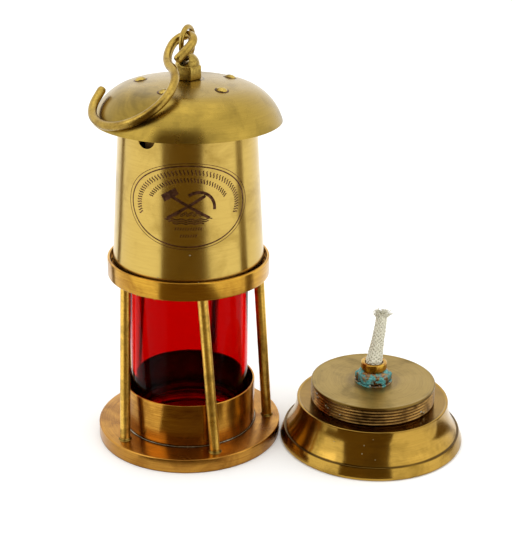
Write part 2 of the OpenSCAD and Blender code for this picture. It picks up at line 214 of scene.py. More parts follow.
@dataclass(frozen=True)
class AgedBrass:
    """Brass that was turned or spun, polished, and has dulled and browned with handling.

    The colour of the reflection carries the look: bright straw where the metal is clean,
    olive and brown where it has tarnished, with fine lathe lines that stretch each highlight
    across them.

    Attributes:
        name: Name of the material.
        clean: sRGB hex colour of the clean metal's reflection.
        dull: sRGB hex colour of the tarnished metal's reflection.
        spot: sRGB hex colour of small dark spots.
        roughness: Roughness of the clean metal.
        tarnish: Share of tarnish, from 0 to 1.
        patch: Size of a tarnish patch, in millimetres.
        spots: Share of small dark spots, from 0 to 1.
        spot_size: Size of a spot, in millimetres.
        grain: How the surface was worked.
        line: Spacing of the lathe lines, in millimetres. Real ones are about 0.1 mm; they are
            drawn coarser so that they show.
        line_depth: Depth of the lathe lines, in millimetres.
        line_tone: How dark the lathe lines are, from 0 to 1.
        stretch: How far the lathe lines stretch a highlight, from 0 to 1.
        axis_x: Where the lathe axis stands along X, in millimetres.
        stains_and_shades: Rings of another colour.
    """

    name: str
    clean: str
    dull: str
    spot: str = "2a1a0a"
    roughness: float = 0.3
    tarnish: float = 0.4
    patch: float = 14.0
    spots: float = 0.15
    spot_size: float = 1.2
    grain: Grain = Grain.LATHED
    line: float = 0.35
    line_depth: float = 0.008
    line_tone: float = 0.35
    stretch: float = 0.6
    axis_x: float = 0.0
    stains_and_shades: tuple[StainAndShade, ...] = ()

    def build(self) -> bpy.types.Material:
        """Makes the node material.

        Returns:
            The material.
        """
        material, tree = new_material(self.name)
        place = add(tree, "ShaderNodeTexCoord")
        centred = add(
            tree,
            "ShaderNodeVectorMath",
            {0: place.outputs["Object"], 1: (self.axis_x * MM, 0, 0)},
            operation="SUBTRACT",
        )
        flat = add(
            tree,
            "ShaderNodeVectorMath",
            {0: centred.outputs[0], 1: (1, 1, 0)},
            operation="MULTIPLY",
        )
        radius = add(tree, "ShaderNodeVectorMath", {0: flat.outputs[0]}, operation="LENGTH")
        outward = add(tree, "ShaderNodeVectorMath", {0: flat.outputs[0]}, operation="NORMALIZE")
        height = add(tree, "ShaderNodeSeparateXYZ", {0: centred.outputs[0]})
        turn = add(tree, "ShaderNodeSeparateXYZ", {0: outward.outputs[0]})

        # Tarnish lies in soft patches, stretched a little round the piece by wiping
        patches = add(
            tree,
            "ShaderNodeTexNoise",
            {"Vector": centred.outputs[0], "Scale": 1 / (self.patch * MM), "Detail": 6.0,
             "Roughness": 0.62, "Distortion": 0.4},
        )
        patch_mask = add(
            tree,
            "ShaderNodeValToRGB",
            {0: patches.outputs["Fac"]},
            stops=((0.62 - 0.4 * self.tarnish, grey(0)), (0.86 - 0.4 * self.tarnish, grey(1))),
        )
        colour = add(
            tree,
            "ShaderNodeMix",
            {"Factor": patch_mask.outputs["Color"], "A": linear(self.clean),
             "B": linear(self.dull)},
            data_type="RGBA",
        ).outputs["Result"]

        # Lathe lines: noise that is fine across the lines and long round the axis
        lines = self._lines(tree, radius, height, turn)
        colour = add(
            tree,
            "ShaderNodeMix",
            {"Factor": lines, "A": colour, "B": linear(self.dull)},
            data_type="RGBA",
            blend_type="MULTIPLY",
        ).outputs["Result"]

        # Small dark spots, where moisture or fingers have been
        freckles = add(
            tree,
            "ShaderNodeTexNoise",
            {"Vector": centred.outputs[0], "Scale": 1 / (self.spot_size * MM), "Detail": 3.0,
             "Roughness": 0.55},
        )
        freckle_mask = add(
            tree,
            "ShaderNodeValToRGB",
            {0: freckles.outputs["Fac"]},
            stops=((0.76 - 0.22 * self.spots, grey(0)), (0.84 - 0.22 * self.spots, grey(0.85))),
        )
        colour = add(
            tree,
            "ShaderNodeMix",
            {"Factor": freckle_mask.outputs["Color"], "A": colour, "B": linear(self.spot)},
            data_type="RGBA",
        ).outputs["Result"]

        # Rings of another colour: real stains and dark joints, and painted shade in corners and
        # grooves.
        for stain_and_shade in self.stains_and_shades:
            colour = self._lay_stain_and_shade(tree, colour, stain_and_shade, radius, height, patches)

        rough = add(
            tree,
            "ShaderNodeMapRange",
            {"Value": patches.outputs["Fac"], "From Min": 0.3, "From Max": 0.7,
             "To Min": self.roughness * 0.8, "To Max": min(1.0, self.roughness * 1.35)},
        )
        bump = add(
            tree,
            "ShaderNodeBump",
            {"Height": lines, "Strength": 0.5, "Distance": self.line_depth * MM},
        )
        dents = add(
            tree,
            "ShaderNodeBump",
            {"Height": patches.outputs["Fac"], "Strength": 0.2, "Distance": 0.12 * MM,
             "Normal": bump.outputs["Normal"]},
        )
        inputs = {
            "Base Color": colour,
            "Metallic": 1.0,
            "Roughness": rough.outputs["Result"],
            "Normal": dents.outputs["Normal"],
        }
        if self.grain is Grain.LATHED:
            round_axis = add(
                tree,
                "ShaderNodeVectorMath",
                {0: (0, 0, 1), 1: outward.outputs[0]},
                operation="CROSS_PRODUCT",
            )
            inputs |= {
                "Anisotropic": self.stretch,
                "Anisotropic Rotation": 0.25,
                "Tangent": round_axis.outputs[0],
            }
        shader = add(tree, "ShaderNodeBsdfPrincipled", inputs)
        add(tree, "ShaderNodeOutputMaterial", {"Surface": shader.outputs[0]})
        return material

    def _lines(
        self,
        tree: bpy.types.NodeTree,
        radius: bpy.types.Node,
        height: bpy.types.Node,
        turn: bpy.types.Node,
    ) -> bpy.types.NodeSocket:
        """Adds the fine lines that a lathe or a cloth left.

        Args:
            tree: Node tree to add to.
            radius: Node whose Value is the distance from the axis.
            height: Node whose Z is the height.
            turn: Node whose X and Y are the direction from the axis.

        Returns:
            A socket from 0 to 1 that follows the lines.
        """
        per_metre = 1 / (self.line * MM)
        if self.grain is Grain.CAST:
            across = add(
                tree,
                "ShaderNodeTexNoise",
                {"Scale": per_metre * 0.7, "Detail": 4.0, "Roughness": 0.6},
            )
            place = add(tree, "ShaderNodeTexCoord")
            tree.links.new(place.outputs["Object"], across.inputs["Vector"])
        else:
            fine_r = add(
                tree,
                "ShaderNodeMath",
                {0: radius.outputs["Value"], 1: per_metre},
                operation="MULTIPLY",
            )
            fine_z = add(
                tree,
                "ShaderNodeMath",
                {0: height.outputs["Z"], 1: per_metre},
                operation="MULTIPLY",
            )
            long_x = add(
                tree, "ShaderNodeMath", {0: turn.outputs["X"], 1: 2.5}, operation="MULTIPLY"
            )
            long_y = add(
                tree, "ShaderNodeMath", {0: turn.outputs["Y"], 1: 2.5}, operation="MULTIPLY"
            )
            spot = add(
                tree,
                "ShaderNodeCombineXYZ",
                {"X": fine_r.outputs[0], "Y": fine_z.outputs[0], "Z": long_x.outputs[0]},
            )
            across = add(
                tree,
                "ShaderNodeTexNoise",
                {"Vector": spot.outputs[0], "W": long_y.outputs[0], "Scale": 1.0,
                 "Detail": 3.0, "Roughness": 0.7},
                noise_dimensions="4D",
            )
        shaped = add(
            tree,
            "ShaderNodeValToRGB",
            {0: across.outputs["Fac"]},
            stops=((0.42, grey(0)), (0.72, grey(self.line_tone))),
        )
        return shaped.outputs["Color"]

    def _lay_stain_and_shade(
        self,
        tree: bpy.types.NodeTree,
        colour: bpy.types.NodeSocket,
        stain_and_shade: StainAndShade,
        radius: bpy.types.Node,
        height: bpy.types.Node,
        patches: bpy.types.Node,
    ) -> bpy.types.NodeSocket:
        """Lays one ring of another colour over the metal, its edge broken up.

        Args:
            tree: Node tree to add to.
            colour: Colour so far.
            stain_and_shade: The ring.
            radius: Node whose Value is the distance from the axis.
            height: Node whose Z is the height.
            patches: Noise node that breaks the ring's edge.

        Returns:
            The new colour.
        """
        along = height.outputs["Z"] if stain_and_shade.along == "Z" else radius.outputs["Value"]
        away = add(
            tree, "ShaderNodeMath", {0: along, 1: stain_and_shade.at * MM}, operation="SUBTRACT"
        )
        size = add(tree, "ShaderNodeMath", {0: away.outputs[0]}, operation="ABSOLUTE")
        wander = add(
            tree,
            "ShaderNodeMath",
            {0: patches.outputs["Fac"], 1: 0.9 * stain_and_shade.width * MM, 2: size.outputs[0]},
            operation="MULTIPLY_ADD",
        )
        mask = add(
            tree,
            "ShaderNodeMapRange",
            {"Value": wander.outputs[0], "From Min": 0.55 * stain_and_shade.width * MM,
             "From Max": stain_and_shade.width * MM, "To Min": stain_and_shade.strength, "To Max": 0.0},
        )
        return add(
            tree,
            "ShaderNodeMix",
            {"Factor": mask.outputs["Result"], "A": colour, "B": linear(stain_and_shade.colour)},
            data_type="RGBA",
        ).outputs["Result"]


@dataclass(frozen=True)
class RubyGlass:
    """Pressed soda-lime glass tube coloured through with ruby red: clear, glossy, faintly wavy.

    Attributes:
        name: Name of the material.
        colour: sRGB hex colour of the light that passes one surface.
        index: Index of refraction. Real glass has 1.5; a dusty lamp glass mirrors far less.
    """

    name: str = "ruby glass"
    colour: str = "cb0507"
    index: float = 1.1

    def build(self) -> bpy.types.Material:
        """Makes the node material.

        Returns:
            The material.
        """
        material, tree = new_material(self.name)
        place = add(tree, "ShaderNodeTexCoord")
        waves = add(
            tree,
            "ShaderNodeTexNoise",
            {"Vector": place.outputs["Object"], "Scale": 1 / (9 * MM), "Detail": 2.0},
        )
        seeds = add(
            tree,
            "ShaderNodeTexNoise",
            {"Vector": place.outputs["Object"], "Scale": 1 / (1.5 * MM), "Detail": 3.0},
        )
        haze = add(
            tree,
            "ShaderNodeMapRange",
            {"Value": seeds.outputs["Fac"], "From Min": 0.5, "From Max": 0.75,
             "To Min": 0.02, "To Max": 0.07},
        )
        bump = add(
            tree,
            "ShaderNodeBump",
            {"Height": waves.outputs["Fac"], "Strength": 0.25, "Distance": 0.15 * MM},
        )
        shader = add(
            tree,
            "ShaderNodeBsdfPrincipled",
            {"Base Color": linear(self.colour), "Roughness": haze.outputs["Result"],
             "IOR": self.index, "Transmission Weight": 1.0,
             "Normal": bump.outputs["Normal"]},
        )
        add(tree, "ShaderNodeOutputMaterial", {"Surface": shader.outputs[0]})
        return material


@dataclass(frozen=True)
class CorrodedBrass:
    """Brass heated by the torch and then eaten by flux: blue-green verdigris over pink and
    straw heat tints, with pale flux crumbs.

    Attributes:
        name: Name of the material.
        metal: sRGB hex colour of the bare metal.
        tint: sRGB hex colour of the heat tint.
        crust: sRGB hex colour of the verdigris.
        cover: Share of the surface under verdigris, from 0 to 1.
    """

    name: str = "verdigris on brass"
    metal: str = "a88440"
    tint: str = "6e5550"
    crust: str = "3f8884"
    cover: float = 0.55

    def build(self) -> bpy.types.Material:
        """Makes the node material.

        Returns:
            The material.
        """
        material, tree = new_material(self.name)
        place = add(tree, "ShaderNodeTexCoord")
        broad = add(
            tree,
            "ShaderNodeTexNoise",
            {"Vector": place.outputs["Object"], "Scale": 1 / (3.2 * MM), "Detail": 5.0,
             "Roughness": 0.65, "Distortion": 0.8},
        )
        fine = add(
            tree,
            "ShaderNodeTexNoise",
            {"Vector": place.outputs["Object"], "Scale": 1 / (0.9 * MM), "Detail": 5.0,
             "Roughness": 0.7},
        )
        tints = add(
            tree,
            "ShaderNodeValToRGB",
            {0: fine.outputs["Fac"]},
            stops=((0.35, linear(self.metal)), (0.6, linear(self.tint))),
        )
        crusts = add(
            tree,
            "ShaderNodeValToRGB",
            {0: fine.outputs["Fac"]},
            stops=((0.3, linear("2a6263")), (0.5, linear(self.crust)), (0.72, linear("7fb2aa"))),
        )
        covered = add(
            tree,
            "ShaderNodeValToRGB",
            {0: broad.outputs["Fac"]},
            stops=((0.66 - 0.4 * self.cover, grey(0)), (0.74 - 0.4 * self.cover, grey(1))),
        )
        colour = add(
            tree,
            "ShaderNodeMix",
            {"Factor": covered.outputs["Color"], "A": tints.outputs["Color"],
             "B": crusts.outputs["Color"]},
            data_type="RGBA",
        )
        metal = add(
            tree,
            "ShaderNodeMapRange",
            {"Value": covered.outputs["Color"], "To Min": 1.0, "To Max": 0.1},
        )
        rough = add(
            tree,
            "ShaderNodeMapRange",
            {"Value": covered.outputs["Color"], "To Min": 0.32, "To Max": 0.62},
        )
        bump = add(
            tree,
            "ShaderNodeBump",
            {"Height": fine.outputs["Fac"], "Strength": 0.7, "Distance": 0.25 * MM},
        )
        shader = add(
            tree,
            "ShaderNodeBsdfPrincipled",
            {"Base Color": colour.outputs["Result"], "Metallic": metal.outputs["Result"],
             "Roughness": rough.outputs["Result"], "Normal": bump.outputs["Normal"]},
        )
        add(tree, "ShaderNodeOutputMaterial", {"Surface": shader.outputs[0]})
        return material


@dataclass(frozen=True)
class CottonYarn:
    """Bleached cotton yarn, plied and braided: matte, with fibres that catch the light.

    Attributes:
        name: Name of the material.
        light: sRGB hex colour of the yarn.
        shade: sRGB hex colour between the fibres.
    """

    name: str = "cotton yarn"
    light: str = "d3cfb9"
    shade: str = "98917a"

    def build(self) -> bpy.types.Material:
        """Makes the node material.

        Returns:
            The material.
        """
        material, tree = new_material(self.name)
        place = add(tree, "ShaderNodeTexCoord")
        long_way = add(
            tree,
            "ShaderNodeMapping",
            {"Vector": place.outputs["Object"], "Scale": (1.0, 1.0, 0.25)},
        )
        fibres = add(
            tree,
            "ShaderNodeTexNoise",
            {"Vector": long_way.outputs[0], "Scale": 1 / (0.25 * MM), "Detail": 4.0},
        )
        tone = add(
            tree,
            "ShaderNodeValToRGB",
            {0: fibres.outputs["Fac"]},
            stops=((0.3, linear(self.shade)), (0.55, linear(self.light))),
        )
        bump = add(
            tree,
            "ShaderNodeBump",
            {"Height": fibres.outputs["Fac"], "Strength": 0.8, "Distance": 0.12 * MM},
        )
        shader = add(
            tree,
            "ShaderNodeBsdfPrincipled",
            {"Base Color": tone.outputs["Color"], "Roughness": 0.9, "Sheen Weight": 0.35,
             "Sheen Roughness": 0.5, "Normal": bump.outputs["Normal"]},
        )
        add(tree, "ShaderNodeOutputMaterial", {"Surface": shader.outputs[0]})
        return material


@dataclass(frozen=True)
class Fibre:
    """Pressed fibre of the washers that seal the glass: matte brown with darker flecks.

    Attributes:
        name: Name of the material.
        colour: sRGB hex colour.
    """

    name: str = "pressed fibre"
    colour: str = "6b5a48"

    def build(self) -> bpy.types.Material:
        """Makes the node material.

        Returns:
            The material.
        """
        material, tree = new_material(self.name)
        place = add(tree, "ShaderNodeTexCoord")
        flecks = add(
            tree,
            "ShaderNodeTexNoise",
            {"Vector": place.outputs["Object"], "Scale": 1 / (0.8 * MM), "Detail": 5.0},
        )
        tone = add(
            tree,
            "ShaderNodeValToRGB",
            {0: flecks.outputs["Fac"]},
            stops=((0.35, linear("3a3026")), (0.6, linear(self.colour))),
        )
        bump = add(
            tree,
            "ShaderNodeBump",
            {"Height": flecks.outputs["Fac"], "Strength": 0.5, "Distance": 0.1 * MM},
        )
        shader = add(
            tree,
            "ShaderNodeBsdfPrincipled",
            {"Base Color": tone.outputs["Color"], "Roughness": 0.85,
             "Normal": bump.outputs["Normal"]},
        )
        add(tree, "ShaderNodeOutputMaterial", {"Surface": shader.outputs[0]})
        return material


@dataclass(frozen=True)
class WovenGauze:
    """Brass wire gauze, woven with square holes that one can see through.

    Attributes:
        name: Name of the material.
        pitch: Distance from wire to wire, in millimetres.
        radius: Radius of the gauze, in millimetres.
    """

    name: str = "woven brass gauze"
    pitch: float = 0.9
    radius: float = 15.0

    def build(self) -> bpy.types.Material:
        """Makes the node material.

        Returns:
            The material.
        """
        material, tree = new_material(self.name)
        place = add(tree, "ShaderNodeTexCoord")
        part = add(tree, "ShaderNodeSeparateXYZ", {0: place.outputs["Object"]})
        angle = add(
            tree,
            "ShaderNodeMath",
            {0: part.outputs["Y"], 1: part.outputs["X"]},
            operation="ARCTAN2",
        )
        waves = []
        for source, per in (
            (angle.outputs[0], round(2 * math.pi * self.radius / self.pitch)),
            (part.outputs["Z"], 2 * math.pi / (self.pitch * MM)),
        ):
            phase = add(
                tree, "ShaderNodeMath", {0: source, 1: float(per)}, operation="MULTIPLY"
            )
            waves.append(
                add(tree, "ShaderNodeMath", {0: phase.outputs[0]}, operation="COSINE")
            )
        wires = add(
            tree,
            "ShaderNodeMath",
            {0: waves[0].outputs[0], 1: waves[1].outputs[0]},
            operation="MAXIMUM",
        )
        solid = add(
            tree,
            "ShaderNodeMapRange",
            {"Value": wires.outputs[0], "From Min": 0.05, "From Max": 0.2},
        )
        bump = add(
            tree,
            "ShaderNodeBump",
            {"Height": wires.outputs[0], "Strength": 0.8, "Distance": 0.2 * MM},
        )
        shader = add(
            tree,
            "ShaderNodeBsdfPrincipled",
            {"Base Color": linear("7c5a28"), "Metallic": 1.0, "Roughness": 0.5,
             "Alpha": solid.outputs["Result"], "Normal": bump.outputs["Normal"]},
        )
        add(tree, "ShaderNodeOutputMaterial", {"Surface": shader.outputs[0]})
        return material


@dataclass(frozen=True)
class Plain:
    """A plain stage surface.

    Attributes:
        name: Name of the material.
        colour: sRGB hex colour.
        roughness: Roughness.
    """

    name: str
    colour: str
    roughness: float = 0.9

    def build(self) -> bpy.types.Material:
        """Makes the node material.

        Returns:
            The material.
        """
        material, tree = new_material(self.name)
        shader = add(
            tree,
            "ShaderNodeBsdfPrincipled",
            {"Base Color": linear(self.colour), "Roughness": self.roughness,
             "Specular IOR Level": 0.0},
        )
        add(tree, "ShaderNodeOutputMaterial", {"Surface": shader.outputs[0]})
        return material


@dataclass
class Finishes:
    """Every material of the lamp, each built once."""

    flange: bpy.types.Material = field(init=False)
    collar: bpy.types.Material = field(init=False)
    band: bpy.types.Material = field(init=False)
    rod: bpy.types.Material = field(init=False)
    shell: bpy.types.Material = field(init=False)
    hood: bpy.types.Material = field(init=False)
    finial: bpy.types.Material = field(init=False)
    wire: bpy.types.Material = field(init=False)
    font: bpy.types.Material = field(init=False)
    plate: bpy.types.Material = field(init=False)
    thread: bpy.types.Material = field(init=False)
    tube: bpy.types.Material = field(init=False)
    sooty: bpy.types.Material = field(init=False)
    etched: bpy.types.Material = field(init=False)
    solder: bpy.types.Material = field(init=False)
    glass: bpy.types.Material = field(init=False)
    verdigris: bpy.types.Material = field(init=False)
    cotton: bpy.types.Material = field(init=False)
    fibre: bpy.types.Material = field(init=False)
    gauze: bpy.types.Material = field(init=False)

    def __post_init__(self) -> None:
        """Builds the materials."""
        # Handled turned brass gone brown: warm, with painted shade darkest in the corner round the
        # collar and along the lower edge on the floor.
        self.flange = AgedBrass(
            "turned brass, browned", "ba8738", "8c5c20", roughness=0.22, tarnish=0.4,
            line_tone=0.5, stretch=0.5,
            stains_and_shades=(StainAndShade("R", 27.6, 1.4, "33200a", 0.8), StainAndShade("Z", 0.2, 1.0, "4a2d0c", 0.5)),
        ).build()
        # Brushed round the tube: fine level lines that stretch each highlight sideways. Its foot
        # carries a ring of painted shade in the corner with the flange.
        self.collar = AgedBrass(
            "brushed brass, browned", "c49038", "905f20", roughness=0.2, tarnish=0.4,
            line=0.5, line_depth=0.012, line_tone=0.6, stretch=0.6,
            stains_and_shades=(StainAndShade("Z", 6.2, 1.2, "3a2408", 0.8),),
        ).build()
        # Turned and often touched: the warmest, clearest brown of the lamp.
        self.band = AgedBrass(
            "turned brass, warm", "c99a38", "9a6b24", roughness=0.2, tarnish=0.4,
            line_tone=0.5, stretch=0.6,
        ).build()
        # Drawn rod: paler and mottled, with dark joints at its foot and head.
        self.rod = AgedBrass(
            "drawn brass rod, mottled", "e6bd58", "a07c35", roughness=0.34, tarnish=0.35,
            patch=7.0, spots=0.25, grain=Grain.CAST, line=0.6,
            stains_and_shades=(StainAndShade("Z", 6.4, 1.6, "2e1c08", 0.8), StainAndShade("Z", 71.6, 1.2, "3a260c", 0.7)),
        ).build()
        # Lacquered sheet: clean yellow brass with soft vertical highlights, and painted shade at
        # its foot, down inside the middle ring.
        self.shell = AgedBrass(
            "rolled brass sheet, lacquered", "c4a657", "a0833c", roughness=0.2, tarnish=0.3,
            patch=18.0, spots=0.03, line=0.6, line_depth=0.004, line_tone=0.16, stretch=0.5,
            stains_and_shades=(StainAndShade("Z", 74.0, 2.0, "3e280c", 0.7),),
        ).build()
        # Spun satin brass: broad blurred highlights, and a dark ring round the finial's foot,
        # painted to stand for the hexagon's reflection in the dome.
        self.hood = AgedBrass(
            "spun brass, satin", "a08539", "7a652b", roughness=0.26, tarnish=0.4, patch=16.0,
            spots=0.08, line=0.6, line_depth=0.004, line_tone=0.16, stretch=0.3,
            stains_and_shades=(StainAndShade("R", 6.2, 1.0, "3a280e", 0.75),),
        ).build()
        # Turned and tarnished: blotchy, with small dark pits.
        self.finial = AgedBrass(
            "turned brass, mottled", "bfa452", "7d652b", roughness=0.3, tarnish=0.5,
            patch=3.5, spots=0.45, spot_size=0.8, grain=Grain.CAST, line=0.5,
        ).build()
        # Handled wire: dull in patches and rubbed bright between them.
        self.wire = AgedBrass(
            "drawn brass wire, handled", "ac8f42", "7a5e27", roughness=0.26, tarnish=0.4,
            patch=8.0, spots=0.3, spot_size=0.9, grain=Grain.CAST, line=0.6,
        ).build()
        # Spun and polished: the sharpest reflections, and painted shade in the step over the foot
        # band and on the shoulder round the neck.
        self.font = AgedBrass(
            "spun brass, polished", "b5903f", "8a6b28", roughness=0.15, tarnish=0.35,
            line=0.45, line_depth=0.005, line_tone=0.22, stretch=0.5, axis_x=FONT_X,
            stains_and_shades=(StainAndShade("Z", 5.1, 0.8, "35210a", 0.85), StainAndShade("Z", 17.9, 0.8, "5a3c14", 0.5)),
        ).build()
        # Faced on a lathe: matte rings that catch the light as a soft fan. A wide ring of painted
        # shade lies round the burner's foot.
        self.plate = AgedBrass(
            "turned brass plate, matte", "9a8040", "7a6531", roughness=0.34, tarnish=0.35,
            spots=0.15, spot_size=0.7, line=0.5, line_depth=0.008, line_tone=0.3,
            stretch=0.5, axis_x=FONT_X,
            stains_and_shades=(StainAndShade("R", 9.4, 5.0, "54402c", 0.4), StainAndShade("R", 25.8, 0.8, "59401a", 0.6)),
        ).build()
        # Cut thread: dark brown roots under lighter crests; the dark of the roots is painted shade.
        self.thread = AgedBrass(
            "cut brass thread, brown", "a58046", "604521", roughness=0.28, tarnish=0.5,
            patch=6.0, spots=0.35, line=0.3, stretch=0.4, axis_x=FONT_X,
            stains_and_shades=(StainAndShade("R", 25.2, 0.35, "2c1a0a", 0.85),),
        ).build()
        # Heated at the burner: straw yellow that turns to copper red.
        self.tube = AgedBrass(
            "brass tube, heat tinted", "c39a3c", "8a4a1c", roughness=0.22, tarnish=0.4,
            patch=2.5, spots=0.3, spot_size=0.6, grain=Grain.CAST, line=0.5, axis_x=FONT_X,
        ).build()
        # Brass inside the lamp: nearly black and without shine.
        self.sooty = AgedBrass(
            "brass under soot", "7a5a2a", "33240f", roughness=0.5, tarnish=0.7, spots=0.4,
            stretch=0.2,
        ).build()
        # Etched and blackened lines: matte brown against the bright shell. The same brown also
        # serves as painted shade in the rings round the rivet heads.
        self.etched = AgedBrass(
            "blackened etching and painted shade", "6f4c3a", "40281c", roughness=0.45, tarnish=0.6,
            patch=2.0, spots=0.3, spot_size=0.5, grain=Grain.CAST, line=0.3,
        ).build()
        # Soft solder: grey beads with a small soft highlight.
        self.solder = AgedBrass(
            "soft solder", "a9a494", "777060", spot="4a4136", roughness=0.3, tarnish=0.4,
            patch=1.5, spots=0.3, spot_size=0.5, grain=Grain.CAST, line=0.3,
        ).build()
        # Ruby glass: deep red by what passes through it, with little mirror on its dusty face.
        self.glass = RubyGlass().build()
        # Flux-eaten brass: blue-green crust over brown heat tints.
        self.verdigris = CorrodedBrass().build()
        # Cotton: soft off-white yarns with shade between them.
        self.cotton = CottonYarn().build()
        # Pressed fibre washers: matte grey-brown.
        self.fibre = Fibre().build()
        # Woven wire: a dark even net.
        self.gauze = WovenGauze().build()


# --------------------------------------------------------------------------------------
# Mesh tools
# --------------------------------------------------------------------------------------


def rounded(corners: Sequence[tuple[float, float, float]], steps: int = 4) -> list[Vector]:
    """Turns a closed outline with a rounding at each corner into points.

    Args:
        corners: Radius, height and size of the rounding at each corner, in millimetres.
        steps: Number of straight pieces in each rounding.

    Returns:
        The outline's points.
    """
    points = []
    for i, (r, z, size) in enumerate(corners):
        corner = Vector((r, z))
        if size <= 0:
            points.append(corner)
            continue
        before = Vector(corners[i - 1][:2]) - corner
        after = Vector(corners[(i + 1) % len(corners)][:2]) - corner
        reach = min(size, 0.45 * before.length, 0.45 * after.length)
        start = corner + before.normalized() * reach
        end = corner + after.normalized() * reach
        for k in range(steps + 1):
            t = k / steps
            points.append(start * (1 - t) ** 2 + corner * 2 * t * (1 - t) + end * t**2)
    return points


def around(turn: float, radius: float, z: float, axis_x: float = 0.0) -> Vector:
    """A point at a direction, distance and height about an upright axis.

    Args:
        turn: Direction from +X, in degrees.
        radius: Distance from the axis, in millimetres.
        z: Height, in millimetres.
        axis_x: Where the axis stands along X, in millimetres.

    Returns:
        The point, in millimetres.
    """
    angle = math.radians(turn)
    return Vector((axis_x + radius * math.cos(angle), radius * math.sin(angle), z))


def flecks(spots: Sequence[tuple[float, float, float, float]],
           axis_x: float = 0.0) -> bmesh.types.BMesh:
    """Small uneven beads of solder on a turned surface.

    Args:
        spots: Direction, radius of the surface, height and size of each bead.
        axis_x: Where the surface's axis stands along X, in millimetres.

    Returns:
        The mesh, in millimetres.
    """
    bm = bmesh.new()
    for turn, radius, z, size in spots:
        bmesh.ops.create_icosphere(
            bm, subdivisions=3, radius=size,
            matrix=Matrix.Translation(around(turn, radius, z, axis_x))
            @ Matrix.Rotation(math.radians(turn), 4, "Z")
            @ Matrix.Diagonal((0.5, 1.0, 0.8, 1.0)),
        )
    return roughened(bm, 0.16, 0.7)


def finished(bm: bmesh.types.BMesh, name: str, material: bpy.types.Material,
             sharp: float = 38.0) -> bpy.types.Object:
    """Turns a bmesh in millimetres into a smooth-shaded object with crisp edges.

    Args:
        bm: The mesh, which is freed.
        name: Name of the object.
        material: Its material.
        sharp: Angle above which an edge stays crisp, in degrees.

    Returns:
        The object, at the origin and unturned.
    """
    bmesh.ops.remove_doubles(bm, verts=bm.verts, dist=1e-4)
    bmesh.ops.recalc_face_normals(bm, faces=bm.faces)
    bmesh.ops.scale(bm, vec=(MM, MM, MM), verts=bm.verts)
    for face in bm.faces:
        face.smooth = True
    for edge in bm.edges:
        if len(edge.link_faces) == 2:
            edge.smooth = edge.calc_face_angle(0.0) < math.radians(sharp)
    mesh = bpy.data.meshes.new(name)
    bm.to_mesh(mesh)
    bm.free()
    mesh.materials.append(material)
    made = bpy.data.objects.new(name, mesh)
    bpy.context.scene.collection.objects.link(made)
    return made


def lathe(profile: Sequence[Vector], axis_x: float = 0.0, steps: int = 180,
          closed: bool = True) -> bmesh.types.BMesh:
    """Spins an outline round an upright axis.

    Args:
        profile: Radius and height of each point of the outline, in millimetres.
        axis_x: Where the axis stands along X, in millimetres.
        steps: Number of faces round the axis.
        closed: Whether the last point joins the first.

    Returns:
        The mesh, in millimetres.
    """
    bm = bmesh.new()
    verts = [bm.verts.new((axis_x + p[0], 0, p[1])) for p in profile]
    edges = [bm.edges.new((a, b)) for a, b in zip(verts, verts[1:])]
    if closed:
        edges.append(bm.edges.new((verts[-1], verts[0])))
    bmesh.ops.spin(
        bm, geom=verts + edges, cent=(axis_x, 0, 0), axis=(0, 0, 1), dvec=(0, 0, 0),
        angle=2 * math.pi, steps=steps, use_merge=True,
    )
    return bm


def roughened(bm: bmesh.types.BMesh, amount: float, size: float) -> bmesh.types.BMesh:
    """Moves each vertex a little, as handling and dents do.

    Args:
        bm: The mesh, in millimetres.
        amount: Largest movement, in millimetres.
        size: Distance from dent to dent, in millimetres.

    Returns:
        The same mesh.
    """
    for vert in bm.verts:
        vert.co += noise.noise_vector(vert.co / size) * amount
        vert.co.z = max(vert.co.z, 0.0)
    return bm


def tube(path: Sequence[Vector], radius: Callable[[float], float], sides: int = 20,
         bm: bmesh.types.BMesh | None = None, closed: bool = False) -> bmesh.types.BMesh:
    """Sweeps a round section along a path without twisting it.

    Args:
        path: Points of the path, in millimetres.
        radius: Radius for each share of the path's length, from 0 to 1.
        sides: Number of faces round the section.
        bm: Mesh to add to, or None for a new one.
        closed: Whether the path's end joins its start.

    Returns:
        The mesh, in millimetres.
    """
    bm = bm or bmesh.new()
    count = len(path)
    if closed:
        heads = [(path[(i + 1) % count] - path[i - 1]).normalized() for i in range(count)]
    else:
        heads = [
            (path[min(i + 1, count - 1)] - path[max(i - 1, 0)]).normalized()
            for i in range(count)
        ]
    side = heads[0].orthogonal().normalized()
    rings = []
    for i, (point, head) in enumerate(zip(path, heads)):
        side = (side - head * side.dot(head)).normalized()
        over = head.cross(side)
        size = radius(i / max(count - 1, 1))
        rings.append([
            bm.verts.new(
                point
                + side * (size * math.cos(2 * math.pi * k / sides))
                + over * (size * math.sin(2 * math.pi * k / sides))
            )
            for k in range(sides)
        ])
    spans = list(zip(rings, rings[1:])) + ([(rings[-1], rings[0])] if closed else [])
    for low, high in spans:
        for k in range(sides):
            after = (k + 1) % sides
            bm.faces.new((low[k], low[after], high[after], high[k]))
    if not closed:
        bm.faces.new(reversed(rings[0]))
        bm.faces.new(rings[-1])
    return bm


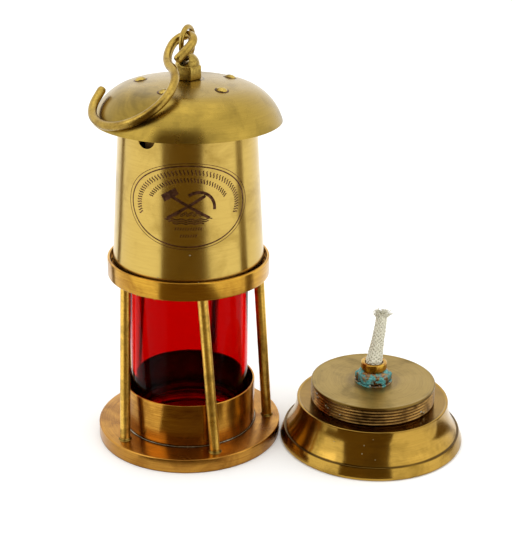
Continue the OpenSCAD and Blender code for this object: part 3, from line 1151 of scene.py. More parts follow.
def cut(target: bpy.types.Object, cutter: bpy.types.Object) -> None:
    """Cuts one object out of another and removes the cutter.

    Args:
        target: Object that keeps what is left.
        cutter: Object to cut away.
    """
    modifier = target.modifiers.new("cut", "BOOLEAN")
    modifier.operation = "DIFFERENCE"
    modifier.solver = "EXACT"
    modifier.object = cutter
    graph = bpy.context.evaluated_depsgraph_get()
    result = bpy.data.meshes.new_from_object(target.evaluated_get(graph))
    target.modifiers.clear()
    old = target.data
    target.data = result
    bpy.data.meshes.remove(old)
    bpy.data.objects.remove(cutter)
    bm = bmesh.new()
    bm.from_mesh(result)
    for edge in bm.edges:
        if len(edge.link_faces) == 2:
            edge.smooth = edge.calc_face_angle(0.0) < math.radians(38)
    for face in bm.faces:
        face.smooth = True
    bm.to_mesh(result)
    bm.free()


def place(made: bpy.types.Object, body: Body, slot: Slot, *nodes: str) -> bpy.types.Object:
    """Lets a finished piece ride on its body and stand for its CAD nodes.

    Args:
        made: The piece.
        body: Body it moves with.
        slot: Material slot of the record; not used.
        *nodes: CAD nodes that it stands for.

    Returns:
        The piece.
    """
    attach(made, body.value)
    if nodes:
        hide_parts(*nodes)
    LOG.info("%s: %d faces", made.name, len(made.data.polygons))
    return made


# --------------------------------------------------------------------------------------
# Lamp
# --------------------------------------------------------------------------------------


@dataclass
class Base:
    """Flange, collar, glass, pillars and middle ring. The hidden pieces that hold the glass are not
    made here.

    Attributes:
        finishes: The materials.
        flange_r: Radius of the flange.
        flange_t: Thickness of the flange.
        bore_r: Radius of the font's socket.
        collar_r: Outer radius of the collar.
        collar_wall: Wall of the collar.
        collar_top: Height of the collar's top.
        shelf_z: Height of the underside of the middle ring.
        band_r: Outer radius of the middle ring.
        band_wall: Wall of the middle ring.
        band_h: Height of the middle ring.
        pillar_r: Radius of a pillar.
        foot_circle: Radius of the circle of pillars at the flange.
        head_circle: Radius of the circle of pillars under the middle ring.
        first_pillar: Direction of the first pillar's head, in degrees from +X.
        twist: How far round each pillar's foot stands from its head, in degrees.
        glass_r: Outer radius of the glass.
        glass_wall: Wall of the glass.
        glass_z: Height of the glass's foot.
        glass_h: Length of the glass.
    """

    finishes: Finishes
    flange_r: float = 38.0
    flange_t: float = 6.0
    bore_r: float = 26.05
    collar_r: float = 27.2
    collar_wall: float = 0.8
    collar_top: float = 24.3
    shelf_z: float = 72.0
    band_r: float = 32.7
    band_wall: float = 1.1
    band_h: float = 7.5
    pillar_r: float = 2.1
    foot_circle: float = 32.6
    head_circle: float = 28.4
    first_pillar: float = -72.5
    twist: float = 7.5
    glass_r: float = 24.2
    glass_wall: float = 2.2
    glass_z: float = 10.8
    glass_h: float = 60.0

    def build(self) -> None:
        """Makes every piece of the base."""
        self._flange()
        self._collar()
        self._glass()
        self._pillars()
        self._band()

    def _flange(self) -> None:
        """The turned disc, with a threaded socket under it."""
        pitch, depth = 1.3, 0.5
        edge = self.flange_r - 0.03  # leaves room for the marks that handling left
        socket = []
        z = self.flange_t - 0.5
        while z > 0.7:
            socket.append((self.bore_r, z, 0))
            socket.append((self.bore_r + depth, z - pitch / 2, 0))
            z -= pitch
        profile = rounded([
            (self.bore_r + 0.4, 0, 0.3), (edge - 0.1, 0, 0.5),
            (edge, 0.9, 0.2), (edge, self.flange_t, 0.55),
            (self.bore_r, self.flange_t, 0.2), *socket,
        ])
        made = finished(
            roughened(lathe(profile), 0.02, 14.0), "base_flange_turned", self.finishes.flange
        )
        place(made, Body.FRAME, Slot.BRASS, "base_flange")

    def _collar(self) -> None:
        """The tube round the foot of the glass, and the solder line at its foot."""
        inner = self.collar_r - self.collar_wall
        foot = self.flange_t
        profile = rounded([
            (inner, foot, 0), (self.collar_r, foot, 0),
            (self.collar_r, self.collar_top, 0.45), (inner, self.collar_top, 0.35),
        ])
        made = finished(
            roughened(lathe(profile), 0.03, 12.0), "glass_guard_collar_turned",
            self.finishes.collar,
        )
        place(made, Body.FRAME, Slot.BRASS, "glass_guard_collar")
        steps = 240
        path = [
            Vector((
                (self.collar_r + 0.05) * math.cos(2 * math.pi * i / steps),
                (self.collar_r + 0.05) * math.sin(2 * math.pi * i / steps),
                foot + 0.05,
            ))
            for i in range(steps)
        ]
        bead = tube(
            path, lambda t: 0.1 + 0.3 * max(0.0, noise.noise(Vector((t * 19, 0, 0)))), 8,
            closed=True,
        )
        place(finished(bead, "collar_solder_line", self.finishes.solder), Body.FRAME, Slot.BRASS)

    def _glass(self) -> None:
        """The ruby glass tube with fire-polished ends."""
        inner = self.glass_r - self.glass_wall
        top = self.glass_z + self.glass_h
        profile = rounded([
            (inner, self.glass_z, 0.6), (self.glass_r, self.glass_z, 0.6),
            (self.glass_r, top, 0.6), (inner, top, 0.6),
        ])
        made = finished(lathe(profile), "ruby_glass_tube", self.finishes.glass, 60)
        place(made, Body.FRAME, Slot.GLASS, "glass_cylinder")

    def _pillars(self) -> None:
        """Five splayed rods, each with a rough fillet of solder at its foot."""
        for i in range(5):
            turn = self.first_pillar + 72 * i
            foot = around(turn + self.twist, self.foot_circle, self.flange_t)
            head = around(turn, self.head_circle, self.shelf_z)
            path = [foot.lerp(head, k / 24) for k in range(25)]
            rod = roughened(tube(path, lambda t: self.pillar_r, 28), 0.03, 9.0)
            name = f"pillar_{i + 1}"
            place(
                finished(rod, f"{name}_rod", self.finishes.rod), Body.FRAME, Slot.BRASS, name
            )
            spread = (
                (Vector((0, 0, 0)), 0.62), (Vector((0, 0, 0.35)), 0.34),
                (Vector((0, 0, 0.9)), 0.08),
            )
            for where, tilt, tag in ((foot, 1, "foot"), (head, -1, "head")):
                steps = [where + up * tilt for up, _ in spread]
                sizes = [self.pillar_r + extra for _, extra in spread]
                bead = tube(steps, lambda t, s=sizes: s[round(t * 2)], 28)
                roughened(bead, 0.16, 1.3)
                for vert in bead.verts:
                    vert.co.z = min(max(vert.co.z, self.flange_t - 0.02), self.shelf_z + 0.02)
                place(
                    finished(bead, f"{name}_{tag}_joint", self.finishes.rod),
                    Body.FRAME, Slot.BRASS,
                )

    def _band(self) -> None:
        """The middle ring, its lower edge nicked."""
        inner = self.band_r - self.band_wall
        top = self.shelf_z + self.band_h
        profile = rounded([
            (inner, self.shelf_z, 0.2), (self.band_r, self.shelf_z, 0.5),
            (self.band_r, top, 0.5), (inner, top, 0.3),
        ])
        made = finished(
            roughened(lathe(profile), 0.04, 8.0), "middle_ring_turned", self.finishes.band
        )
        place(made, Body.FRAME, Slot.BRASS, "middle_ring_band")
        nicks = flecks([
            (turn, self.band_r - 0.35, self.shelf_z + 0.15, size)
            for turn, size in ((-121, 0.5), (-118, 0.35), (-113, 0.45), (-107, 0.6), (-101, 0.4))
        ])
        place(finished(nicks, "middle_ring_nicks", self.finishes.band), Body.FRAME, Slot.BRASS)


@dataclass
class Bonnet:
    """Tapered shell with its etched badge, hood, rivets and finial.

    Attributes:
        finishes: The materials.
        foot_z: Height of the shell's foot.
        foot_r: Outer radius of the shell at its foot.
        top_r: Outer radius of the shell at its top.
        height: Height of the shell.
        wall: Wall of the shell.
        bead_r: Outer radius of the rolled bead.
        bead_h: Height of the rolled bead.
        vent_r: Radius of a vent hole.
        vent_z: Height of the vent holes' centres.
        first_vent: Direction of the first vent, in degrees from +X.
        hood_r: Radius of the hood's rim.
        rim_z: Height of the hood's rim.
        crown_top: Height of the hood's crown.
        crown_r: Radius of curvature of the crown.
        crown_edge: Radius at which the crown turns into the shoulder.
        hood_wall: Wall of the hood.
        rivet_circle: Radius of the circle of rivets.
        first_rivet: Direction of the first rivet, in degrees from +X.
        finial_turn: Direction that one flat of the hexagon faces, in degrees from +X.
        ring_turn: Direction of the ring's flat, in degrees from +X.
        dent: Depth of the shell's shallow dents.
        dent_size: Distance from dent to dent on the shell.
    """

    finishes: Finishes
    foot_z: float = 73.5
    foot_r: float = 30.7
    top_r: float = 26.8
    height: float = 67.5
    wall: float = 0.8
    bead_r: float = 31.45
    bead_h: float = 2.0
    vent_r: float = 4.0
    vent_z: float = 134.0
    first_vent: float = -118.0
    hood_r: float = 37.1
    rim_z: float = 136.0
    crown_top: float = 152.0
    crown_r: float = 110.0
    crown_edge: float = 22.0
    hood_wall: float = 1.0
    rivet_circle: float = 18.5
    first_rivet: float = -111.0
    finial_turn: float = -70.0
    ring_turn: float = 75.0
    dent: float = 0.06
    dent_size: float = 22.0

    def build(self) -> None:
        """Makes every piece of the bonnet."""
        self._shell()
        Badge(self).build()
        self._hood()
        self._rivets()
        self._finial()

    def radius_at(self, z: float) -> float:
        """Outer radius of the shell at a height.

        Args:
            z: Height, in millimetres.

        Returns:
            The radius, in millimetres.
        """
        return self.foot_r + (self.top_r - self.foot_r) * (z - self.foot_z) / self.height

    def _shell(self) -> None:
        """The tapered tube with a rolled bead and three vent holes."""
        top = self.foot_z + self.height
        profile = rounded([
            (self.foot_r - self.wall, self.foot_z, 0.1), (self.bead_r, self.foot_z, 0.6),
            (self.bead_r, self.foot_z + self.bead_h, 0.6),
            (self.radius_at(self.foot_z + self.bead_h), self.foot_z + self.bead_h, 0.3),
            (self.top_r, top, 0.2), (self.top_r - self.wall, top, 0.2),
        ])
        dense = []
        for i, point in enumerate(profile):
            after = profile[(i + 1) % len(profile)]
            pieces = max(1, round((after - point).length / 3))
            dense += [point.lerp(after, k / pieces) for k in range(pieces)]
        made = finished(
            roughened(lathe(dense, steps=240), self.dent, self.dent_size), "bonnet_shell_sheet",
            self.finishes.shell,
        )
        for i in range(3):
            turn = math.radians(self.first_vent + 120 * i)
            out = Vector((math.cos(turn), math.sin(turn), 0))
            start = out * (self.top_r - 6) + Vector((0, 0, self.vent_z))
            hole = tube([start, start + out * 12], lambda t: self.vent_r, 48)
            cut(made, finished(hole, "vent_cutter", self.finishes.shell))
        place(made, Body.BONNET, Slot.BRASS, "bonnet_shell")
        specks = flecks([
            (turn, self.radius_at(z), z, size)
            for turn, z, size in (
                (-82, 90.0, 0.3), (-106, 80.2, 0.3), (-93, 74.6, 0.45), (-81, 74.9, 0.35),
                (-76, 79.0, 0.2), (-88, 76.2, 0.2),
            )
        ])
        place(finished(specks, "bonnet_solder_specks", self.finishes.solder), Body.BONNET,
              Slot.BRASS)

    def hood_arcs(self, inset: float) -> list[Vector]:
        """Points of the hood's surface from the rim to the crown's middle.

        Args:
            inset: Distance in from the outside, in millimetres.

        Returns:
            Radius and height of each point.
        """
        crown_z = self.crown_top - self.crown_r
        lean = math.asin(self.crown_edge / self.crown_r)
        run = self.hood_r - self.crown_edge
        fall = crown_z + self.crown_r * math.cos(lean) - self.rim_z
        small = (run**2 + fall**2) / (2 * (fall * math.cos(lean) - run * math.sin(lean)))
        centre = Vector((
            self.crown_edge - small * math.sin(lean),
            crown_z + (self.crown_r - small) * math.cos(lean),
        ))
        low = math.acos(min(1.0, (self.rim_z - centre.y) / (small - inset)))
        points = []
        for i in range(29):
            angle = low + (lean - low) * i / 28
            points.append(centre + Vector((math.sin(angle), math.cos(angle))) * (small - inset))
        for i in range(1, 17):
            angle = lean * (1 - i / 16)
            points.append(
                Vector((0, crown_z))
                + Vector((math.sin(angle), math.cos(angle))) * (self.crown_r - inset)
            )
        return points

    def _hood(self) -> None:
        """The spun dome, with a slim rolled lip and small dents."""
        outer, inner = self.hood_arcs(0), self.hood_arcs(self.hood_wall)
        stud = 2.5
        outer = [p for p in outer if p.x > stud] + [Vector((stud, self.crown_top - 0.03))]
        inner = [p for p in inner if p.x > stud]
        inner.append(Vector((stud, self.crown_top - self.hood_wall - 0.03)))
        lip = [
            Vector((self.hood_r - 0.15, self.rim_z + 0.05)),
            Vector((self.hood_r - 0.5, self.rim_z - 0.0)),
            Vector((self.hood_r - 0.85, self.rim_z + 0.05)),
        ]
        profile = [*inner[::-1], *lip[::-1], *outer[0:1], *outer[1:]]
        bm = roughened(lathe(profile, steps=240), 0.12, 15.0)
        for vert in bm.verts:
            vert.co.z = min(max(vert.co.z, self.rim_z), self.crown_top)
        made = finished(bm, "hood_spun", self.finishes.hood, 30)
        place(made, Body.BONNET, Slot.BRASS, "hood")

    def _rivets(self) -> None:
        """Five low round heads over thin rings of painted shade, and their shanks below."""
        crown_z = self.crown_top - self.crown_r
        tilt = math.asin(self.rivet_circle / self.crown_r)
        bm = bmesh.new()
        ring = bmesh.new()
        for i in range(5):
            frame = (
                Matrix.Rotation(math.radians(self.first_rivet + 72 * i), 4, "Z")
                @ Matrix.Translation((0, 0, crown_z))
                @ Matrix.Rotation(tilt, 4, "Y")
                @ Matrix.Translation((0, 0, self.crown_r))
            )
            dome = rounded([
                (0.01, -3.1, 0), (1.45, -3.1, 0.3), (1.45, -2.3, 0.2), (1.15, -2.2, 0),
                (1.15, -0.1, 0), (2.2, -0.1, 0.1), (2.15, 0.35, 0.5), (1.1, 1.05, 0.8),
                (0.01, 1.15, 0),
            ])
            one = lathe(dome, steps=40, closed=False)
            bmesh.ops.transform(one, matrix=frame, verts=one.verts)
            self._append(bm, one)
            # A flat dark ring round each head: painted shade where the head meets the dome.
            groove = lathe(
                rounded([(2.1, -0.15, 0), (2.75, -0.15, 0), (2.6, 0.06, 0.1), (2.1, 0.1, 0)]),
                steps=40,
            )
            roughened(groove, 0.1, 0.9)
            bmesh.ops.transform(groove, matrix=frame, verts=groove.verts)
            self._append(ring, groove)
        place(
            finished(bm, "hood_rivet_heads", self.finishes.finial), Body.BONNET, Slot.BRASS,
            "hood_rivets",
        )
        place(finished(ring, "hood_rivet_shade_rings", self.finishes.etched), Body.BONNET, Slot.BRASS)

    @staticmethod
    def _append(whole: bmesh.types.BMesh, part: bmesh.types.BMesh) -> None:
        """Adds one mesh to another and frees it.

        Args:
            whole: Mesh that grows.
            part: Mesh that is copied in.
        """
        copy = bpy.data.meshes.new("part")
        part.to_mesh(copy)
        part.free()
        whole.from_mesh(copy)
        bpy.data.meshes.remove(copy)

    def _finial(self) -> None:
        """The hexagon with a round top and a flared cross hole."""
        flats, height, ball = 9.6, 5.3, 4.7
        bm = bmesh.new()
        bmesh.ops.create_cone(
            bm, cap_ends=True, segments=6, radius1=flats / math.sqrt(3),
            radius2=flats / math.sqrt(3), depth=height,
            matrix=Matrix.Translation((0, 0, self.crown_top + height / 2))
            @ Matrix.Rotation(math.radians(self.finial_turn + 30), 4, "Z"),
        )
        bmesh.ops.bevel(
            bm, geom=bm.edges[:], offset=0.4, offset_type="OFFSET", affect="EDGES", segments=3,
            profile=0.5, material=-1,
        )
        hexagon = finished(bm, "finial_hexagon", self.finishes.finial)
        dome_z = self.crown_top + height
        profile = [Vector((0.01, dome_z - 1.5)), Vector((ball * 0.97, dome_z - 1.5))]
        profile += [
            Vector((ball * math.cos(math.radians(a)), dome_z + ball * math.sin(math.radians(a))))
            for a in range(0, 90, 5)
        ]
        profile.append(Vector((0.01, dome_z + ball)))
        dome = finished(
            lathe(profile, steps=64, closed=False), "finial_dome", self.finishes.finial
        )
        along = Vector((
            math.cos(math.radians(self.ring_turn)), math.sin(math.radians(self.ring_turn)), 0
        ))
        centre = Vector((0, 0, dome_z + ball - 2.2))
        for side in (1, -1):
            hole = tube(
                [centre - along * side * 0.4, centre + along * side * 7],
                lambda t: 1.12 + 1.75 * t, 32,
            )
            cut(dome, finished(hole, "finial_hole", self.finishes.finial))
        place(hexagon, Body.BONNET, Slot.BRASS, "finial")
        place(dome, Body.BONNET, Slot.BRASS)


@dataclass
class Badge:
    """The etched oval on the front of the shell: two rules, rope borders and crossed tools.

    Attributes:
        bonnet: The bonnet that it is etched on.
        turn: Direction that it faces, in degrees from +X.
        centre_z: Height of its middle.
        half_width: Half its width along the shell.
        half_height: Half its height.
        lift: How far the etched lines stand proud, so that they show.
    """

    bonnet: Bonnet
    turn: float = -83.0
    centre_z: float = 109.0
    half_width: float = 25.0
    half_height: float = 16.8
    lift: float = 0.03

    def build(self) -> None:
        """Makes the lines as one mesh."""
        bm = bmesh.new()
        self._ellipse(bm, 1.0, 0.22)
        self._ellipse(bm, 0.94, 0.5)
        self._rope(bm, 0.8, 196, -16, 2.0)
        self._rope(bm, 0.62, 160, 20, 1.7)
        self._tools(bm)
        for v, half in ((-8.6, 5.4), (-11.4, 3.4)):
            count = round(half * 2 / 1.0)
            for k in range(count):
                u = -half + (k + 0.5) * 2 * half / count
                self._stroke(bm, [(u - 0.25, v - 0.6), (u + 0.25, v + 0.6)], 0.36)
        made = finished(bm, "badge_etching", self.bonnet.finishes.etched)
        place(made, Body.BONNET, Slot.BRASS)

    def _on_shell(self, u: float, v: float, lift: float) -> Vector:
        """Maps a point of the badge onto the shell.

        Args:
            u: Distance along the shell from the badge's middle, in millimetres.
            v: Height above the badge's middle, in millimetres.
            lift: Distance out from the shell, in millimetres.

        Returns:
            The point, in millimetres.
        """
        z = self.centre_z + v
        radius = self.bonnet.radius_at(z)
        turn = self.turn + math.degrees(u / radius)
        point = around(turn, radius, z)
        dent = noise.noise_vector(point / self.bonnet.dent_size) * self.bonnet.dent
        return point + dent + around(turn, lift, 0)

    @staticmethod
    def _dense(points: Sequence[tuple[float, float]]) -> list[tuple[float, float]]:
        """Adds points to a line, because a long straight piece would cut under the shell.

        Args:
            points: Points of the line.

        Returns:
            The line with no piece longer than 0.8 mm.
        """
        line = []
        for (u, v), (next_u, next_v) in zip(points, points[1:]):
            pieces = max(1, math.ceil(math.hypot(next_u - u, next_v - v) / 0.8))
            line += [
                (u + (next_u - u) * k / pieces, v + (next_v - v) * k / pieces)
                for k in range(pieces)
            ]
        return [*line, points[-1]]

    def _stroke(self, bm: bmesh.types.BMesh, points: Sequence[tuple[float, float]],
                width: float, closed: bool = False) -> None:
        """Adds a ribbon along a line of the badge.

        Args:
            bm: Mesh to add to.
            points: Points of the line, along and up.
            width: Width of the ribbon.
            closed: Whether the line joins its start.
        """
        points = self._dense([*points, points[0]] if closed else points)
        points = points[:-1] if closed else points
        count = len(points)
        pairs = []
        for i, (u, v) in enumerate(points):
            before = points[i - 1] if closed or i else points[0]
            after = points[(i + 1) % count] if closed or i < count - 1 else points[-1]
            du, dv = after[0] - before[0], after[1] - before[1]
            size = math.hypot(du, dv) or 1.0
            nu, nv = -dv / size * width / 2, du / size * width / 2
            pairs.append([
                bm.verts.new(self._on_shell(u + nu, v + nv, self.lift)),
                bm.verts.new(self._on_shell(u - nu, v - nv, self.lift)),
            ])
        spans = list(zip(pairs, pairs[1:])) + ([(pairs[-1], pairs[0])] if closed else [])
        for a, b in spans:
            bm.faces.new((a[0], a[1], b[1], b[0]))

    def _ellipse(self, bm: bmesh.types.BMesh, share: float, width: float) -> None:
        """Adds an oval rule.

        Args:
            bm: Mesh to add to.
            share: Its size, as a share of the badge's.
            width: Its width.
        """
        points = [
            (share * self.half_width * math.cos(a), share * self.half_height * math.sin(a))
            for a in (2 * math.pi * i / 160 for i in range(160))
        ]
        self._stroke(bm, points, width, closed=True)

    def _rope(self, bm: bmesh.types.BMesh, share: float, start: float, end: float,
              size: float) -> None:
        """Adds a rope border that follows the oval, as slanted strokes.

        Args:
            bm: Mesh to add to.
            share: Size of the oval it follows, as a share of the badge's.
            start: Where it starts, in degrees.
            end: Where it ends, in degrees.
            size: Height of its strokes.
        """
        a, b = share * self.half_width, share * self.half_height
        length = abs(math.radians(end - start)) * (a + b) / 2
        count = round(length / (size * 0.62))
        for i in range(count + 1):
            angle = math.radians(start + (end - start) * i / count)
            centre = Vector((a * math.cos(angle), b * math.sin(angle)))
            out = Vector((b * math.cos(angle), a * math.sin(angle))).normalized()
            along = Vector((-out.y, out.x))
            bend = [
                centre + out * size * t / 2 + along * size * (0.34 * t - 0.3 * t**3)
                for t in (-1.0, -0.5, 0.0, 0.5, 1.0)
            ]
            self._stroke(bm, [tuple(p) for p in bend], 0.46)

    def _tools(self, bm: bmesh.types.BMesh) -> None:
        """Adds a crossed pick and hammer over a heap of stones.

        Args:
            bm: Mesh to add to.
        """
        for side in (1, -1):
            self._stroke(bm, [(-8.2 * side, -4.6), (6.6 * side, 4.2)], 1.15)
        head = [
            (4.0 + 6.2 * math.cos(math.radians(a)), -0.6 + 6.2 * math.sin(math.radians(a)))
            for a in range(-8, 130, 8)
        ]
        self._stroke(bm, head, 1.2)
        self._stroke(bm, [(-9.8, 3.0), (-4.2, 6.2)], 2.8)
        for k, half in enumerate((9.2, 7.8, 6.0)):
            wave = [
                (u / 4, -4.9 - k * 0.8 + 0.22 * math.sin(u / 2.3))
                for u in range(round(-half * 4), round(half * 4) + 1)
            ]
            self._stroke(bm, wave, 0.42)
        for k in range(13):
            u = -5.0 + 0.8 * k
            stone = [
                (u + 0.5 * math.cos(a), -3.3 + 0.5 * (k % 3) + 0.4 * math.sin(a))
                for a in (2 * math.pi * j / 7 for j in range(7))
            ]
            self._stroke(bm, stone, 0.3, closed=True)


@dataclass
class Hanger:
    """The ring through the finial and the S-shaped hook.

    Attributes:
        finishes: The materials.
        ring_r: Radius of the ring to the middle of its wire.
        ring_wire: Radius of the ring's wire.
        ring_z: Height of the ring's middle.
        ring_turn: Direction of the ring's flat, in degrees from +X.
        hook_wire: Radius of the hook's wire.
    """

    finishes: Finishes
    ring_r: float = 6.0
    ring_wire: float = 1.0
    ring_z: float = 165.8
    ring_turn: float = 75.0
    hook_wire: float = 1.7

    def build(self) -> None:
        """Makes the ring and the hook."""
        self._ring()
        self._hook()

    def _ring(self) -> None:
        """The wire ring, with a faint butt joint."""
        turn = math.radians(self.ring_turn)
        flat = Vector((math.cos(turn), math.sin(turn), 0))
        steps = 96
        path = [
            Vector((0, 0, self.ring_z))
            + flat * (self.ring_r * math.sin(2 * math.pi * i / steps))
            + Vector((0, 0, self.ring_r * math.cos(2 * math.pi * i / steps)))
            for i in range(steps)
        ]
        seam = 0.31

        def size(t: float) -> float:
            """Gives the wire's radius, pinched where its ends meet."""
            return self.ring_wire * (1 - 0.12 * math.exp(-((t - seam) * 90) ** 2))

        made = finished(tube(path, size, 20, closed=True), "hanger_ring_wire", self.finishes.wire)
        place(made, Body.HANGER, Slot.BRASS, "hanger_ring")

    def _hook(self) -> None:
        """The bent wire: a cut end, a small eye round the ring and a large open bow."""
        bends = (
            (0.0, 0.0, 7.2), (5.0, -200.0, 0.0), (14.2, -57.0, 0.0), (15.1, 105.0, 0.0),
            (20.5, 82.0, 0.0), (13.3, 49.0, 0.0), (0.0, 0.0, 5.0),
        )
        at, heading = Vector((-6.3, -12.3)), math.radians(92)
        flat_path = [at.copy()]
        for radius, turn, straight in bends:
            steps = max(3, round((abs(math.radians(turn)) * radius + straight) / 0.8))
            for _ in range(steps):
                if straight:
                    at = at + Vector((math.cos(heading), math.sin(heading))) * straight / steps
                else:
                    change = math.radians(turn) / steps
                    chord = 2 * radius * math.sin(abs(change) / 2)
                    heading += change / 2
                    at = at + Vector((math.cos(heading), math.sin(heading))) * chord
                    heading += change / 2
                flat_path.append(at.copy())
        frame = (
            Matrix.Translation((0.18, -0.72, 168.94))
            @ Matrix.Rotation(math.radians(132.8), 4, "Z")
            @ Matrix.Rotation(math.radians(141.7), 4, "X")
        )
        path = [frame @ Vector((p.x, p.y, 0)) for p in flat_path]

        def size(t: float) -> float:
            """Gives the wire's radius, worn smaller at its two ends."""
            end = min(t, 1 - t) * 140
            return self.hook_wire * (0.82 + 0.18 * min(1.0, end) ** 0.5)

        bm = tube(path, size, 24)
        for vert in bm.verts:
            vert.co += noise.noise_vector(vert.co / 7.0) * 0.03
        made = finished(bm, "hook_wire", self.finishes.wire)
        place(made, Body.HOOK, Slot.BRASS, "hook")


@dataclass
class Font:
    """The oil font: shell, threaded neck and top plate.

    Attributes:
        finishes: The materials.
        foot_r: Radius of the foot.
        foot_h: Height of the foot band.
        taper: How much smaller the foot band's radius is at its top.
        step: Step from the foot band to the skirt.
        shoulder_z: Height of the shoulder.
        shoulder_r: Radius of the shoulder.
        wall: Wall of the shell.
        crest_r: Radius over the thread.
        depth: Depth of the thread.
        pitch: Pitch of the thread.
        neck_top: Height of the top plate's upper face.
        plate_t: Thickness of the top plate.
        hole_r: Radius of the burner's hole.
    """

    finishes: Finishes
    foot_r: float = 38.5
    foot_h: float = 5.3
    taper: float = 1.6
    step: float = 0.7
    shoulder_z: float = 18.2
    shoulder_r: float = 31.7
    wall: float = 1.2
    crest_r: float = 25.9
    depth: float = 0.7
    pitch: float = 1.3
    neck_top: float = 26.0
    plate_t: float = 1.0
    hole_r: float = 5.55

    def build(self) -> None:
        """Makes the visible pieces of the font."""
        self._shell()
        self._neck()
        self._plate()

    def _shell(self) -> None:
        """The spun shell: foot band, groove, hollow skirt and shoulder."""
        root = self.crest_r - self.depth
        skirt_foot = self.foot_r - self.taper - self.step
        run = skirt_foot - self.shoulder_r
        rise = self.shoulder_z - self.foot_h
        hollow = (run**2 + rise**2) / (2 * run)
        skirt = []
        for i in range(17):
            z = self.foot_h + (rise - 0.7) * i / 16
            offset = hollow - math.sqrt(hollow**2 - (self.shoulder_z - z) ** 2)
            skirt.append((self.shoulder_r + offset, z, 0.0))
        foot = self.foot_r - 0.04  # leaves room for the marks that handling left
        profile = rounded([
            (foot - self.wall, 0.3, 0.1), (foot - 0.4, 0, 0.4),
            (foot, 0.9, 0.5), (foot - self.taper, self.foot_h, 0.45),
            (skirt_foot + 0.05, self.foot_h - 0.35, 0.1), *skirt[1:],
            (self.shoulder_r, self.shoulder_z, 0.35), (self.shoulder_r - 0.9, self.shoulder_z, 0.1),
            (self.shoulder_r - 1.2, self.shoulder_z - 0.25, 0.2),
            (root - 0.2, self.shoulder_z - 0.25, 0), (root - 0.2, self.shoulder_z - self.wall, 0),
            (self.shoulder_r - self.wall, self.shoulder_z - self.wall, 0),
            (skirt_foot - self.wall, self.foot_h, 0),
        ])
        made = finished(
            roughened(lathe(profile, FONT_X, 240), 0.03, 14.0), "font_shell_spun",
            self.finishes.font,
        )
        place(made, Body.FONT, Slot.BRASS, "font_shell")
        specks = flecks([(-96, 32.9, 13.0, 0.28), (-97, 33.9, 9.6, 0.28), (-90, 32.6, 15.6, 0.22),
                         (-88, 34.6, 7.6, 0.2), (-118, 33.0, 12.2, 0.18)], FONT_X)
        place(finished(specks, "font_solder_specks", self.finishes.solder), Body.FONT,
              Slot.BRASS)

    def _neck(self) -> None:
        """The neck, with a true helical thread."""
        low, high = self.shoulder_z - 0.3, self.neck_top - self.plate_t
        root = self.crest_r - self.depth
        around, up = 288, 96
        bm = bmesh.new()
        rings = []
        for j in range(up + 1):
            z = low + (high - low) * j / up
            fade = min(1.0, (z - low) / 0.6, (high - z) / 0.4)
            ring = []
            for i in range(around):
                angle = 2 * math.pi * i / around
                phase = ((z / self.pitch) - i / around) % 1.0
                tooth = max(0.0, min(1.0, 2.4 * (0.5 - abs(phase - 0.5)) - 0.1))
                radius = root + self.depth * max(0.0, fade) * tooth
                ring.append(bm.verts.new((
                    FONT_X + radius * math.cos(angle), radius * math.sin(angle), z
                )))
            rings.append(ring)
        inner = [
            [
                bm.verts.new((
                    FONT_X + (root - self.wall) * math.cos(2 * math.pi * i / around),
                    (root - self.wall) * math.sin(2 * math.pi * i / around), z,
                ))
                for i in range(around)
            ]
            for z in (high, low)
        ]
        rings += inner
        for a, b in zip(rings, [*rings[1:], rings[0]]):
            for i in range(around):
                after = (i + 1) % around
                bm.faces.new((a[i], a[after], b[after], b[i]))
        made = finished(bm, "font_neck_thread", self.finishes.thread, 50)
        place(made, Body.FONT, Slot.DARK_BRASS, "font_neck")
        blobs = flecks([
            (-156, 25.4, 23.6, 0.9), (-153, 25.5, 22.7, 0.8), (-150, 25.5, 23.4, 0.6),
            (-139, 25.5, 21.9, 0.8), (-136, 25.6, 21.1, 0.5), (-122, 25.6, 20.6, 0.45),
            (-40, 25.5, 20.2, 0.7), (-36, 25.5, 19.4, 0.8),
        ], FONT_X)
        place(finished(blobs, "neck_solder_blobs", self.finishes.solder), Body.FONT, Slot.BRASS)

    def _plate(self) -> None:
        """The flat turned plate, with a small raised rim and a centre hole."""
        low = self.neck_top - self.plate_t
        profile = rounded([
            (self.hole_r, low, 0), (self.crest_r, low, 0.2), (self.crest_r, self.neck_top, 0.3),
            (self.crest_r - 0.9, self.neck_top, 0.1),
            (self.crest_r - 1.1, self.neck_top - 0.08, 0.1),
            (self.hole_r, self.neck_top - 0.05, 0.1),
        ])
        dense = []
        for i, point in enumerate(profile):
            after = profile[(i + 1) % len(profile)]
            pieces = max(1, round((after - point).length / 2))
            dense += [point.lerp(after, k / pieces) for k in range(pieces)]
        made = finished(
            lathe(dense, FONT_X, 200), "font_top_plate_turned", self.finishes.plate
        )
        place(made, Body.FONT, Slot.BRASS, "font_top_plate")


